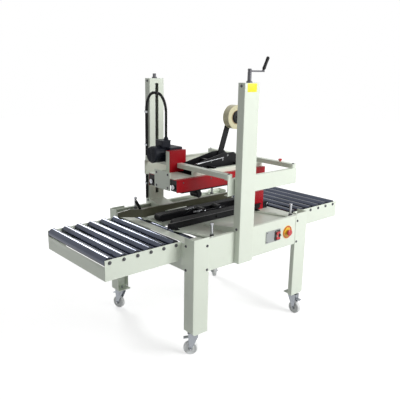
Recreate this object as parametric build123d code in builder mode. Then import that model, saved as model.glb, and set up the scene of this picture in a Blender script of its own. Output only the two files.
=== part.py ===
from build123d import *
import math
import os

os.makedirs("parts", exist_ok=True)

# Carton sealer. X is the way the cartons travel (infeed at -X), -Y is the operator's side,
# Z is up, and the origin is on the floor under the middle of the machine. Millimetres.

# body: heights follow the rollers, lengths and widths the body
body_length = 892
body_width = 775
axle_height = 607
roller_radius = 25
deck_drop = 12
panel_rise = 20
leg_rise = 30
panel_height = 174
end_panel_height = 102
sheet = 3
flange = 20
deck_end_gap = 21
corner_radius = 4

# legs
leg_bottom = 131
leg_width = 103
leg_depth = 73
leg_return = 28
foot_plate = 6
leg_corner = 12

# casters
wheel_radius = 37.5
wheel_width = 24
tyre_shoulder = 4
hub_radius = 13
hub_proud = 1
wheel_trail = 26
fork_gap = 3
fork_sheet = 3
fork_width = 34
fork_toe = 18
axle_radius = 4
axle_nut_radius = 7
axle_nut_height = 4
stem_radius = 6
stem_top = 150
race_radius = 21
race_gap = 0.3
swivel_drop = 5
pedal_reach = 64
pedal_width = 24
pedal_thickness = 4
pedal_drop = 30
running_gap = 0.05

# roller tables
table_width = 573.5
table_length = 443
plate_sheet = 2.5
plate_rise = 14.5
plate_height = 101.5
plate_foot = 24
plate_slant = 22
cross_plate_height = 52
lip = 12
roller_side_gap = 5
cap_recess = 4
cap_rim = 3
rollers_per_table = 6
infeed_end_margin = 25
infeed_body_margin = 32.5
outfeed_end_margin = 39
outfeed_body_margin = 9
table_axle_radius = 5
axle_head_radius = 8
axle_head_height = 4

# bed roller in the deck's infeed slot
bed_slot_margin = 61
bed_slot_width = 56
bed_roller_half = 270
bed_lug = 4
bed_lug_drop = 38

# columns
column_x = -107
column_width = 107
column_depth = 48
column_standoff = 30.5
column_lift = 2
column_height = 936
column_wall = 3
column_cap = 5
slot_width = 24
slot_rise = 80
slot_head = 28
bearing_drop = 18
bearing_height = 12
base_rise = 42
base_toe = 6
base_slope_start = 2
base_inner_y = 130

# lift screws and crank
screw_radius = 10
screw_foot_gap = 1
crank_rise = 52
far_screw_rise = 28
collar_radius = 15
collar_height = 8
collar_gap = 0.3
crank_arm_length = 96
crank_arm_width = 18
crank_arm_thickness = 8
grip_radius = 9
grip_neck = 6
grip_length = 79
grip_lean = 27

# head: the side bars' underside over the deck sets every height of the head
head_rise = 213
bar_height = 87
bar_depth = 26
bar_gap = 4
bar_sheet = 4
bar_margin = 140
crossbar_width = 35
crossbar_height = 25
crossbar_gap = 1
carriage_gap = 2
carriage_drop = 11
carriage_height = 110
tongue_width = 18
tongue_margin = 20

# upper belt units, measured from the side bars' underside
unit_inner_y = 70
unit_outer_y = 125
unit_half_length = 345
guard_sheet = 3
guard_drop = 9
guard_height = 69
guard_fillet = 6
guard_taper = 26
pulley_rise = 19
upper_pulley_radius = 32
belt_thickness = 5
belt_side_gap = 4
end_block = 8
end_bolt_radius = 12
end_bolt_height = 6
slider_half_height = 24
rail_inner_y = 78
rail_width = 22
front_plate_half = 68
front_plate_drop = 7
front_plate_height = 100
base_plate = 4
base_near_y = 100
base_far_y = 128

# drive: margins from the belt units' infeed end
motor_radius = 47.5
motor_margin = 33
motor_y = 150
motor_rise = 157
cowl_length = 30
cowl_lip = 2.5
fin_count = 20
fin_height = 4
fin_width = 3
gearbox_margin = 115
gearbox_length = 88
gearbox_outer_y = 190
gearbox_height = 85
gearbox_fillet = 8
mount_plate = 4
mount_margin = 89
mount_length = 89
mount_height = 120
cover_inner_y = 46
cover_margin = 83
cover_length = 127
cover_height = 121
cover_corner = 14
box_margin = 89
box_length = 60
box_near_y = 118
box_far_y = 184
box_height = 38
box_fillet = 5
gland_radius = 12
gland_height = 14

# upper tape head and tape roll
tape_outer_y = 45
tape_plate = 4
tape_infeed_x = -160
tape_outfeed_x = 200
tape_low = 33
tape_knee = 60
tape_high = 157
tape_infeed_high = 112
tape_outfeed_high = 117
tape_corner = 10
hanger_width = 20
hanger_height = 10
hanger_infeed_x = -50
hanger_outfeed_x = 160
tape_roller_radius = 20
pivot_x = -138
pivot_rise = 29
applier_x = -104
applier_drop = 68
arm_sheet = 4
arm_width = 26
arm_side_gap = 5
pivot_radius = 5
guide_roller_radius = 9
guide_roller_x = 60
guide_roller_rise = 120
roll_x = 190
roll_rise = 357
roll_radius = 71
roll_width = 48
core_radius = 38
core_wall = 4
roll_arm_width = 38
roll_arm_thickness = 8
roll_arm_foot_x = 112
roll_arm_foot_rise = 127

# lower belt units and lower tape head, measured from the deck
lower_outer_y = 105
lower_inner_y = 44
lower_belt_rise = 40
lower_pulley_radius = 16
lower_belt_thickness = 3
lower_infeed_margin = 116
lower_outfeed_margin = 26
lower_plate = 4
lower_plate_drop = 4
slider_thickness = 4
lower_head_half_length = 190
lower_head_drop = 60
lower_head_rise = 44
lower_head_shoulder = 12
lower_head_y = 36
lower_flange = 6
lower_roller_radius = 16
lower_roller_x = 62
lower_roller_rise = 40
end_guard_length = 78
end_guard_margin = 86
end_guard_height = 118
end_guard_depth = 50

# guide rails, their posts and arms
post_radius = 7
post_collar = 6
post_height = 84
post_margin = 42.5
infeed_post_margin = 156
outfeed_post_margin = 106
arm_rise = 4
arm_back = 74
arm_reach = 206
arm_width = 26
arm_thickness = 6
arm_slot_length = 130
clamp_radius = 5
clamp_reach = 34
clamp_nut = 8
near_guide_y = 110
far_guide_y = 155
guide_sheet = 4
guide_rise = 12
near_guide_height = 30
far_guide_height = 48
guide_flange = 14
guide_notch = 14
guide_notch_reach = 46
guide_infeed_reach = 26
guide_outfeed_reach = 60
near_flare = 24
far_flare = 110
flare_slope = 0.8
lever_radius = 7
lever_length = 96
lever_lean = 30

# controls
control_margin = 300
control_drop = 86
control_width = 120
control_height = 68
control_depth = 4
control_corner = 3
rocker_offset = 32
rocker_width = 28
rocker_height = 44
rocker_depth = 8
rocker_standoff = 5
rocker_pin_radius = 2
rocker_dish = 2
lug_thickness = 3
lug_gap = 1
stop_margin = 175
stop_disc_radius = 39
stop_disc = 2
stop_collar_radius = 15
stop_collar = 6
stop_radius = 19
stop_stem_radius = 8
stop_travel_gap = 7
stop_head = 11

# conduit
conduit_radius = 8
conduit_gap = 0.3
conduit_rise = 50
conduit_top = 705
conduit_bend = 110
conduit_offset = 44
conduit_y = 142
clip_wall = 3
clip_height = 10
clip_heights = (90, 330, 560)

half_length = body_length / 2
half_width = body_width / 2
deck_top = axle_height + roller_radius - deck_drop
panel_top = deck_top + panel_rise
leg_top = deck_top + leg_rise
skirt_bottom = panel_top - panel_height
end_panel_top = skirt_bottom + end_panel_height
swivel_top = leg_bottom - swivel_drop
panel_y = half_width - sheet
panel_inner_y = panel_y - sheet
plate_body_x = half_length - sheet
leg_centre_x = half_length - leg_width / 2
leg_centre_y = half_width - leg_depth / 2
table_end = half_length + table_length
table_outer_y = table_width / 2
table_inner_y = table_outer_y - plate_sheet
plate_top = axle_height + plate_rise
plate_bottom = plate_top - plate_height
column_bottom = skirt_bottom + column_lift
column_top = column_bottom + column_height
column_outer_y = half_width + column_standoff
column_inner_y = column_outer_y - column_depth
column_y = column_outer_y - column_depth / 2
bearing_bottom = deck_top + slot_rise - bearing_drop
crank_z = column_top + crank_rise
bar_z = deck_top + head_rise
bar_top = bar_z + bar_height
bar_outer_y = column_inner_y - bar_gap
bar_inner_y = bar_outer_y - bar_depth
guard_bottom = bar_z - guard_drop
guard_top = guard_bottom + guard_height
upper_belt_z = bar_z + pulley_rise
base_top = guard_top + base_plate
bar_infeed_x = -unit_half_length + bar_margin
bar_outfeed_x = unit_half_length
crossbar_top = bar_top + crossbar_height
motor_infeed_x = -unit_half_length + motor_margin
gearbox_infeed_x = -unit_half_length + gearbox_margin
gearbox_outfeed_x = gearbox_infeed_x + gearbox_length
mount_infeed_x = -unit_half_length + mount_margin
mount_outfeed_x = mount_infeed_x + mount_length
cover_infeed_x = -unit_half_length + cover_margin
cover_outfeed_x = cover_infeed_x + cover_length
box_infeed_x = -unit_half_length + box_margin
box_outfeed_x = box_infeed_x + box_length
conduit_x = box_infeed_x + conduit_offset
LOW = (Align.CENTER, Align.CENTER, Align.MIN)
CORNER = (Align.MIN, Align.MIN, Align.MIN)


def save(builder, name):
    builder.part.label = name
    export_step(builder.part, "parts/" + name + ".step")


def add_block(one, other, mode=Mode.ADD):
    low = [min(a, b) for a, b in zip(one, other)]
    size = [abs(b - a) for a, b in zip(one, other)]
    with Locations(Vector(*low)):
        Box(*size, align=CORNER, mode=mode)


def add_turned(origin, direction, profile, mode=Mode.ADD):
    # profile: (radius, distance along the direction) points of half the section
    along = Vector(*direction)
    across = Vector(0, 0, 1).cross(along)
    if across.length < 0.01:
        across = Vector(1, 0, 0)
    across = across.normalized()
    with BuildSketch(Plane(origin=origin, x_dir=across, z_dir=across.cross(along))) as section:
        with BuildLine():
            Polyline(*profile, close=True)
        make_face()
    revolve(section.sketch, axis=Axis(origin, direction), mode=mode)


def add_bar_y(x, z, radius, one, other, mode=Mode.ADD):
    with Locations(Location((x, min(one, other), z), (-90, 0, 0))):
        Cylinder(radius, abs(other - one), align=LOW, mode=mode)


def add_bar_x(y, z, radius, one, other, mode=Mode.ADD):
    with Locations(Location((min(one, other), y, z), (0, 90, 0))):
        Cylinder(radius, abs(other - one), align=LOW, mode=mode)


def add_profile_y(points, y, depth, corner=0, mode=Mode.ADD):
    # a plate with the outline points in XZ, from y on by depth along Y
    with BuildSketch(Plane.XZ.offset(-y)) as outline:
        with BuildLine():
            Polyline(*points, close=True)
        make_face()
        if corner:
            fillet(outline.vertices(), corner)
    extrude(outline.sketch, amount=-depth, mode=mode)


# Legs: bent channels with the wide web on the long side and a drilled foot plate
with BuildPart() as legs:
    with BuildSketch(Plane.XY.offset(leg_bottom)) as channel:
        with BuildLine():
            Polyline(
                (-half_length, -half_width),
                (-half_length + leg_width, -half_width),
                (-half_length + leg_width, -half_width + leg_return),
                (-half_length + leg_width - sheet, -half_width + leg_return),
                (-half_length + leg_width - sheet, -half_width + sheet),
                (-half_length + sheet, -half_width + sheet),
                (-half_length + sheet, -half_width + leg_depth),
                (-half_length, -half_width + leg_depth),
                close=True,
            )
        make_face()
        fillet(channel.vertices().group_by(Axis.Y)[0], corner_radius)
        mirror(about=Plane.YZ)
    extrude(amount=leg_top - leg_bottom)
    for side in (-1, 1):
        edge_x = side * (half_length - leg_width)
        add_block(
            (edge_x, -panel_y, skirt_bottom),
            (edge_x + side * sheet, -half_width + leg_return, leg_top),
            mode=Mode.SUBTRACT,
        )
        add_profile_y(
            (
                (side * half_length, leg_bottom),
                (side * (half_length - leg_corner), leg_bottom),
                (side * half_length, leg_bottom + leg_corner),
            ),
            -half_width,
            leg_depth,
            mode=Mode.SUBTRACT,
        )
        with Locations((side * leg_centre_x, -leg_centre_y, leg_bottom)):
            Box(leg_width - 2 * leg_corner, leg_depth - 2 * sheet, foot_plate, align=LOW)
            Cylinder(stem_radius + running_gap, foot_plate, align=LOW, mode=Mode.SUBTRACT)
    mirror(about=Plane.XZ)
save(legs, "legs")

# Side panels with the top and bottom edges turned in, and the two end sheets
with BuildPart() as side_panels:
    for face in (-1, 1):
        with BuildSketch(Plane.YZ.offset(-plate_body_x)):
            with BuildLine():
                Polyline(
                    (face * panel_y, skirt_bottom),
                    (face * (panel_y - flange), skirt_bottom),
                    (face * (panel_y - flange), skirt_bottom + sheet),
                    (face * panel_inner_y, skirt_bottom + sheet),
                    (face * panel_inner_y, panel_top - sheet),
                    (face * (panel_y - flange), panel_top - sheet),
                    (face * (panel_y - flange), panel_top),
                    (face * panel_y, panel_top),
                    close=True,
                )
            make_face()
        extrude(amount=2 * plate_body_x)
save(side_panels, "side_panels")

with BuildPart() as end_panels:
    for side in (-1, 1):
        add_block(
            (side * plate_body_x, -panel_inner_y, skirt_bottom + sheet),
            (side * (plate_body_x - sheet), panel_inner_y, end_panel_top),
        )
save(end_panels, "end_panels")

# Deck with the slot for the bed roller and the opening for the lower tape head
bed_roller_x = -half_length + bed_slot_margin + bed_slot_width / 2
deck_low_x = -plate_body_x + sheet
deck_high_x = plate_body_x - deck_end_gap
with BuildPart() as deck_plate:
    with BuildSketch(Plane.XY.offset(deck_top - sheet)):
        with Locations(((deck_low_x + deck_high_x) / 2, 0)):
            Rectangle(deck_high_x - deck_low_x, 2 * panel_inner_y)
        with Locations((bed_roller_x, 0)):
            RectangleRounded(
                bed_slot_width,
                2 * bed_roller_half + flange,
                corner_radius,
                mode=Mode.SUBTRACT,
            )
        RectangleRounded(
            2 * (lower_head_half_length + corner_radius),
            2 * lower_head_y,
            corner_radius,
            mode=Mode.SUBTRACT,
        )
    extrude(amount=sheet)
    for face in (-1, 1):
        lug_y = face * (bed_roller_half + flange / 2 + bed_lug)
        add_profile_y(
            (
                (bed_roller_x - bed_slot_width / 2, deck_top - sheet),
                (bed_roller_x + bed_slot_width / 2, deck_top - sheet),
                (bed_roller_x + 2 * table_axle_radius, deck_top - bed_lug_drop),
                (bed_roller_x - 2 * table_axle_radius, deck_top - bed_lug_drop),
            ),
            min(lug_y, lug_y + face * bed_lug),
            bed_lug,
        )
save(deck_plate, "deck_plate")

# Columns: slotted box channels, the back cut away below the panel's top edge
column_low_x = column_x - column_width / 2
column_high_x = column_x + column_width / 2
with BuildPart() as near_column:
    with BuildSketch(Plane.XY.offset(column_bottom)):
        with Locations((column_x, -column_y)):
            RectangleRounded(column_width, column_depth, corner_radius)
            Rectangle(
                column_width - 2 * column_wall,
                column_depth - 2 * column_wall,
                mode=Mode.SUBTRACT,
            )
    extrude(amount=column_height)
    add_block(
        (column_low_x, -panel_y, column_bottom),
        (column_high_x, -column_inner_y, panel_top),
        mode=Mode.SUBTRACT,
    )
    add_block(
        (column_x - slot_width / 2, -column_inner_y - column_wall, deck_top + slot_rise),
        (column_x + slot_width / 2, -column_inner_y, column_top - slot_head),
        mode=Mode.SUBTRACT,
    )
    for low, thick in ((bearing_bottom, bearing_height), (column_top - column_cap, column_cap)):
        with Locations((column_x, -column_y, low)):
            Box(column_width - 2 * column_wall, column_depth - 2 * column_wall, thick, align=LOW)
            Cylinder(screw_radius + running_gap, thick, align=LOW, mode=Mode.SUBTRACT)
save(near_column, "near_column")

with BuildPart() as far_column:
    mirror(near_column.part, about=Plane.XZ)
save(far_column, "far_column")

# Column bases: tapered shoes on the deck with a hollow underside
with BuildPart() as column_bases:
    with BuildSketch(Plane.YZ.offset(column_low_x)):
        with BuildLine():
            Polyline(
                (column_inner_y, deck_top + base_rise),
                (column_inner_y, panel_top),
                (panel_y - flange, panel_top),
                (panel_y - flange, deck_top),
                (base_inner_y, deck_top),
                (base_inner_y, deck_top + base_slope_start),
                close=True,
            )
        make_face()
        mirror(about=Plane.YZ)
    extrude(amount=column_width)
    for face in (-1, 1):
        add_block(
            (column_low_x + base_toe, face * (base_inner_y + flange), deck_top),
            (
                column_high_x - base_toe,
                face * (panel_y - flange - base_toe),
                deck_top + base_slope_start,
            ),
            mode=Mode.SUBTRACT,
        )
save(column_bases, "column_bases")

# Roller tables
infeed_first = -table_end + infeed_end_margin
infeed_last = -half_length - infeed_body_margin
outfeed_first = half_length + outfeed_body_margin
outfeed_last = table_end - outfeed_end_margin
gaps = rollers_per_table - 1
infeed_axles = [infeed_first + i * (infeed_last - infeed_first) / gaps for i in range(gaps + 1)]
outfeed_axles = [outfeed_first + i * (outfeed_last - outfeed_first) / gaps for i in range(gaps + 1)]

with BuildPart() as table_side_plates:
    for side, axles in ((-1, infeed_axles), (1, outfeed_axles)):
        for face in (-1, 1):
            add_profile_y(
                (
                    (side * table_end, plate_top),
                    (side * table_end, plate_bottom),
                    (side * (plate_body_x + plate_slant), plate_bottom),
                    (side * plate_body_x, plate_bottom + plate_slant),
                    (side * plate_body_x, plate_top),
                ),
                min(face * table_outer_y, face * table_inner_y),
                plate_sheet,
            )
            add_block(
                (side * plate_body_x, face * table_inner_y, plate_bottom + plate_slant),
                (
                    side * (plate_body_x + plate_sheet),
                    face * (table_inner_y - plate_foot),
                    end_panel_top,
                ),
            )
            add_block(
                (side * (plate_body_x + plate_slant), face * table_inner_y, plate_bottom),
                (
                    side * (table_end - plate_sheet),
                    face * (table_inner_y - lip),
                    plate_bottom + plate_sheet,
                ),
            )
            for x in axles:
                add_bar_y(
                    x,
                    axle_height,
                    table_axle_radius + running_gap,
                    face * table_inner_y,
                    face * table_outer_y,
                    mode=Mode.SUBTRACT,
                )
save(table_side_plates, "table_side_plates")

with BuildPart() as table_end_plates:
    for side in (-1, 1):
        for reach, low, high in (
            (plate_sheet, plate_bottom, plate_bottom + cross_plate_height),
            (lip, plate_bottom + cross_plate_height - plate_sheet, plate_bottom + cross_plate_height),
        ):
            add_block(
                (side * table_end, -table_inner_y, low),
                (side * (table_end - reach), table_inner_y, high),
            )
save(table_end_plates, "table_end_plates")


# Rollers: tubes with recessed end caps on axles with round heads
roller_half = table_inner_y - roller_side_gap
half_section = (
    (0, table_outer_y + race_gap + axle_head_height),
    (axle_head_radius, table_outer_y + race_gap + axle_head_height),
    (axle_head_radius, table_outer_y + race_gap),
    (table_axle_radius, table_outer_y + race_gap),
    (table_axle_radius, roller_half - cap_recess),
    (roller_radius - cap_rim, roller_half - cap_recess),
    (roller_radius - cap_rim, roller_half),
    (roller_radius - 1, roller_half),
    (roller_radius, roller_half - 1),
)
roller_section = half_section + tuple((r, -y) for r, y in reversed(half_section))
for name, axles in (("infeed_roller", infeed_axles), ("outfeed_roller", outfeed_axles)):
    for number, x in enumerate(axles, 1):
        with BuildPart() as roller:
            add_turned((x, 0, axle_height), (0, 1, 0), roller_section)
        save(roller, name + "_" + str(number))

# Casters: a bent fork under a swivel race, a brake pedal, and a wheel with a shouldered tyre
fork_y = wheel_width / 2 + hub_proud + fork_gap
with BuildPart() as fork:
    with BuildSketch(Plane.XY.offset(swivel_top - fork_sheet)):
        with Locations((wheel_trail / 2, 0)):
            RectangleRounded(fork_width + wheel_trail, 2 * (fork_y + fork_sheet), corner_radius)
    extrude(amount=fork_sheet)
    for face in (-1, 1):
        add_profile_y(
            (
                (-fork_width / 2 + corner_radius, swivel_top - fork_sheet),
                (fork_width / 2 + wheel_trail - corner_radius, swivel_top - fork_sheet),
                (fork_width / 2 + wheel_trail - corner_radius, swivel_top - fork_toe),
                (wheel_trail + axle_nut_radius, wheel_radius),
                (wheel_trail, wheel_radius - axle_nut_radius),
                (wheel_trail - axle_nut_radius, wheel_radius),
                (-fork_width / 2 + corner_radius, swivel_top - fork_toe),
            ),
            min(face * fork_y, face * (fork_y + fork_sheet)),
            fork_sheet,
        )
    axle_end = fork_y + fork_sheet + axle_nut_height
    add_turned(
        (wheel_trail, 0, wheel_radius),
        (0, 1, 0),
        (
            (0, -axle_end),
            (axle_nut_radius, -axle_end),
            (axle_nut_radius, -fork_y),
            (axle_radius, -fork_y),
            (axle_radius, fork_y),
            (axle_nut_radius, fork_y),
            (axle_nut_radius, axle_end),
            (0, axle_end),
        ),
    )
    add_turned(
        (0, 0, swivel_top),
        (0, 0, 1),
        (
            (0, 0),
            (race_radius, 0),
            (race_radius, swivel_drop - race_gap - 1),
            (race_radius - 2, swivel_drop - race_gap),
            (stem_radius, swivel_drop - race_gap),
            (stem_radius, stem_top - swivel_top),
            (0, stem_top - swivel_top),
        ),
    )
    pedal_x = wheel_trail + fork_width / 2 - corner_radius
    add_profile_y(
        (
            (pedal_x - fork_sheet, swivel_top - fork_sheet),
            (pedal_x, swivel_top - fork_sheet),
            (pedal_x, swivel_top - pedal_drop + pedal_thickness),
            (pedal_reach, swivel_top - pedal_drop),
            (pedal_reach, swivel_top - pedal_drop - pedal_thickness),
            (pedal_x - fork_sheet, swivel_top - pedal_drop),
        ),
        -pedal_width / 2,
        pedal_width,
    )

with BuildPart() as wheel:
    half_wheel = wheel_width / 2
    add_turned(
        (wheel_trail, 0, wheel_radius),
        (0, 1, 0),
        (
            (axle_radius + running_gap, -half_wheel - hub_proud),
            (hub_radius, -half_wheel - hub_proud),
            (hub_radius, -half_wheel + tyre_shoulder),
            (wheel_radius - 2 * tyre_shoulder, -half_wheel + tyre_shoulder),
            (wheel_radius - 2 * tyre_shoulder, -half_wheel),
            (wheel_radius - tyre_shoulder, -half_wheel),
            (wheel_radius, -half_wheel + tyre_shoulder),
            (wheel_radius, half_wheel - tyre_shoulder),
            (wheel_radius - tyre_shoulder, half_wheel),
            (wheel_radius - 2 * tyre_shoulder, half_wheel),
            (wheel_radius - 2 * tyre_shoulder, half_wheel - tyre_shoulder),
            (hub_radius, half_wheel - tyre_shoulder),
            (hub_radius, half_wheel + hub_proud),
            (axle_radius + running_gap, half_wheel + hub_proud),
        ),
    )

casters = (
    ("near_infeed", -leg_centre_x, -leg_centre_y, 140),
    ("far_infeed", -leg_centre_x, leg_centre_y, 109),
    ("near_outfeed", leg_centre_x, -leg_centre_y, -86),
    ("far_outfeed", leg_centre_x, leg_centre_y, 60),
)
for name, x, y, turn in casters:
    for part, suffix in ((fork.part, "_fork"), (wheel.part, "_wheel")):
        with BuildPart() as placed:
            with Locations(Location((x, y, 0), (0, 0, turn))):
                add(part)
        save(placed, name + suffix)

# Lower belt units, standing on the deck
lower_belt_top = deck_top + lower_belt_rise
lower_loop_radius = lower_pulley_radius + lower_belt_thickness
lower_pulley_z = lower_belt_top - lower_loop_radius
lower_span_low = -half_length + lower_infeed_margin + lower_loop_radius
lower_span_high = half_length - lower_outfeed_margin - lower_loop_radius
lower_middle_x = (lower_span_low + lower_span_high) / 2
lower_span = lower_span_high - lower_span_low
with BuildPart() as lower_belt_frames:
    for face in (-1, 1):
        for start in (lower_inner_y, lower_outer_y - lower_plate):
            with BuildSketch(Plane.XZ.offset(-face * start)):
                with Locations((lower_middle_x, lower_pulley_z)):
                    SlotCenterToCenter(lower_span, 2 * (lower_loop_radius - lower_plate_drop))
                with Locations((lower_middle_x, deck_top)):
                    Rectangle(lower_span, lower_pulley_z - deck_top, align=(Align.CENTER, Align.MIN))
            extrude(amount=-face * lower_plate)
        inner = face * (lower_inner_y + lower_plate)
        outer = face * (lower_outer_y - lower_plate)
        for x in (lower_span_low, lower_span_high):
            add_bar_y(x, lower_pulley_z, lower_pulley_radius, inner, outer)
        slider_top = lower_pulley_z + lower_pulley_radius
        add_block(
            (lower_span_low, inner, slider_top - slider_thickness),
            (lower_span_high, outer, slider_top),
        )
save(lower_belt_frames, "lower_belt_frames")

with BuildPart() as lower_belts:
    for face in (-1, 1):
        start = lower_inner_y + lower_plate + 1
        width = lower_outer_y - lower_plate - 1 - start
        with BuildSketch(Plane.XZ.offset(-face * start)):
            with Locations((lower_middle_x, lower_pulley_z)):
                SlotCenterToCenter(lower_span, 2 * lower_loop_radius)
                SlotCenterToCenter(lower_span, 2 * lower_pulley_radius, mode=Mode.SUBTRACT)
        extrude(amount=-face * width)
save(lower_belts, "lower_belts")

# Lower tape head: two cheek plates with rollers, hung in the deck's opening
with BuildPart() as lower_tape_head:
    cheek_inner = lower_head_y - lower_plate
    for face in (-1, 1):
        add_profile_y(
            (
                (-lower_head_half_length, deck_top - lower_head_drop),
                (lower_head_half_length, deck_top - lower_head_drop),
                (lower_head_half_length, deck_top + lower_head_shoulder),
                (lower_head_half_length / 2, deck_top + lower_head_rise),
                (-lower_head_half_length / 2, deck_top + lower_head_rise),
                (-lower_head_half_length, deck_top + lower_head_shoulder),
            ),
            min(face * cheek_inner, face * lower_head_y),
            lower_plate,
        )
        add_block(
            (-lower_head_half_length, face * lower_head_y, deck_top),
            (lower_head_half_length, face * (lower_head_y + lower_flange), deck_top + sheet),
        )
    for x in (-lower_roller_x, lower_roller_x):
        add_turned(
            (x, 0, deck_top + lower_roller_rise),
            (0, 1, 0),
            (
                (0, -cheek_inner),
                (pivot_radius, -cheek_inner),
                (pivot_radius, -cheek_inner + running_gap),
                (lower_roller_radius - 2, -cheek_inner + running_gap),
                (lower_roller_radius, -cheek_inner + 2),
                (lower_roller_radius, cheek_inner - 2),
                (lower_roller_radius - 2, cheek_inner - running_gap),
                (pivot_radius, cheek_inner - running_gap),
                (pivot_radius, cheek_inner),
                (0, cheek_inner),
            ),
        )
    add_block(
        (-lower_head_half_length, -cheek_inner, deck_top - lower_head_drop),
        (lower_head_half_length, cheek_inner, deck_top - lower_head_drop + sheet),
    )
save(lower_tape_head, "lower_tape_head")

with BuildPart() as end_guard:
    guard_low_x = half_length - end_guard_margin - end_guard_length
    with BuildSketch(Plane.YZ.offset(guard_low_x)) as hood:
        with BuildLine():
            Polyline(
                (-lower_outer_y, deck_top),
                (-lower_outer_y - sheet, deck_top),
                (-lower_outer_y - sheet, deck_top + end_guard_height),
                (-lower_outer_y + end_guard_depth, deck_top + end_guard_height),
                (-lower_outer_y + end_guard_depth, deck_top + end_guard_height - sheet),
                (-lower_outer_y, deck_top + end_guard_height - sheet),
                close=True,
            )
        make_face()
    extrude(amount=end_guard_length)
save(end_guard, "end_guard")

# Guide rails: each slides along two slanted, slotted arms that are bolted to the posts
post_y = half_width - post_margin
infeed_post_x = -half_length + infeed_post_margin
outfeed_post_x = half_length - outfeed_post_margin
arm_bottom = deck_top + arm_rise
arm_length = math.hypot(arm_back, arm_reach)
arm_turn = math.degrees(math.atan2(arm_reach, arm_back))
with BuildPart() as guide_posts:
    for x in (infeed_post_x, outfeed_post_x):
        for y in (-post_y, post_y):
            add_turned(
                (x, y, deck_top),
                (0, 0, 1),
                (
                    (0, 0),
                    (post_radius + post_collar, 0),
                    (post_radius + post_collar, arm_rise - race_gap),
                    (post_radius, arm_rise - race_gap),
                    (post_radius, post_height - 2),
                    (post_radius - 2, post_height),
                    (0, post_height),
                ),
            )
save(guide_posts, "guide_posts")

with BuildPart() as cross_bars:
    with BuildSketch(Plane.XY.offset(arm_bottom)):
        for x in (infeed_post_x, outfeed_post_x):
            with Locations(Location((x - arm_back / 2, post_y - arm_reach / 2), arm_turn)):
                SlotCenterToCenter(arm_length, arm_width)
                with Locations((-arm_length / 2 + arm_slot_length / 2, 0)):
                    SlotCenterToCenter(
                        arm_slot_length,
                        2 * (clamp_radius + running_gap),
                        mode=Mode.SUBTRACT,
                    )
            with Locations((x, post_y)):
                Circle(post_radius + running_gap, mode=Mode.SUBTRACT)
        mirror(about=Plane.XZ)
    extrude(amount=arm_thickness)
save(cross_bars, "cross_bars")


def guide_x(post_x, clamp_y):
    # where the arm from this post reaches the clamp
    return post_x - (post_y - clamp_y) * arm_back / arm_reach


def add_rail(inner_y, height, flare):
    # a rail on the far side: an upright sheet with a turned-out top edge and a flared infeed end
    clamp_y = inner_y + clamp_reach
    low_x = guide_x(infeed_post_x, clamp_y) - guide_infeed_reach
    high_x = guide_x(outfeed_post_x, clamp_y) + guide_outfeed_reach
    spread = flare * flare_slope
    bottom = deck_top + guide_rise
    top = bottom + height
    with BuildSketch(Plane.XY.offset(bottom)) as outline:
        with BuildLine():
            Polyline(
                (low_x - flare, inner_y + spread),
                (low_x, inner_y),
                (high_x, inner_y),
                (high_x, inner_y + guide_sheet),
                (low_x + guide_sheet / 2, inner_y + guide_sheet),
                (low_x - flare, inner_y + spread + guide_sheet),
                close=True,
            )
        make_face()
    extrude(outline.sketch, amount=height)
    add_profile_y(
        (
            (low_x - flare, top),
            (low_x - flare, top - height / 2),
            (low_x - flare / 2, top),
        ),
        inner_y,
        spread + guide_sheet,
        mode=Mode.SUBTRACT,
    )
    add_block(
        (column_low_x - guide_notch_reach, inner_y, bottom),
        (column_high_x + guide_flange, inner_y + guide_sheet, bottom + guide_notch),
        mode=Mode.SUBTRACT,
    )
    add_block(
        (low_x, inner_y, top - guide_sheet),
        (high_x, inner_y + guide_flange, top),
    )
    for post_x in (infeed_post_x, outfeed_post_x):
        x = guide_x(post_x, clamp_y)
        add_block(
            (x - arm_width / 2, inner_y, arm_bottom + arm_thickness + guide_sheet / 8),
            (x + arm_width / 2, clamp_y + arm_width / 2, arm_bottom + arm_thickness + guide_sheet),
        )
        with Locations((x, clamp_y, arm_bottom)):
            Cylinder(clamp_radius, arm_thickness + guide_sheet, align=LOW)
        with Locations((x, clamp_y, arm_bottom + arm_thickness + guide_sheet)):
            Cylinder(2 * clamp_radius, clamp_nut, align=LOW)


with BuildPart() as near_guide_rail:
    add_rail(near_guide_y, near_guide_height, near_flare)
    mirror(near_guide_rail.part, about=Plane.XZ, mode=Mode.REPLACE)
save(near_guide_rail, "near_guide_rail")

with BuildPart() as far_guide_rail:
    add_rail(far_guide_y, far_guide_height, far_flare)
save(far_guide_rail, "far_guide_rail")

with BuildPart() as guide_lever:
    lever_x = guide_x(infeed_post_x, far_guide_y + clamp_reach)
    lever_foot = arm_bottom + arm_thickness + guide_sheet + clamp_nut
    lean = math.radians(lever_lean)
    add_turned(
        (lever_x, far_guide_y + clamp_reach, lever_foot + lever_radius / 2),
        (-math.sin(lean), 0, math.cos(lean)),
        (
            (0, 0),
            (lever_radius - 3, 0),
            (lever_radius - 3, lever_length / 3),
            (lever_radius, lever_length * 0.6),
            (lever_radius, lever_length - 3),
            (lever_radius - 3, lever_length),
            (0, lever_length),
        ),
    )
    with Locations((lever_x, far_guide_y + clamp_reach, lever_foot)):
        Cylinder(lever_radius, lever_radius, align=LOW)
save(guide_lever, "guide_lever")

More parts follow.
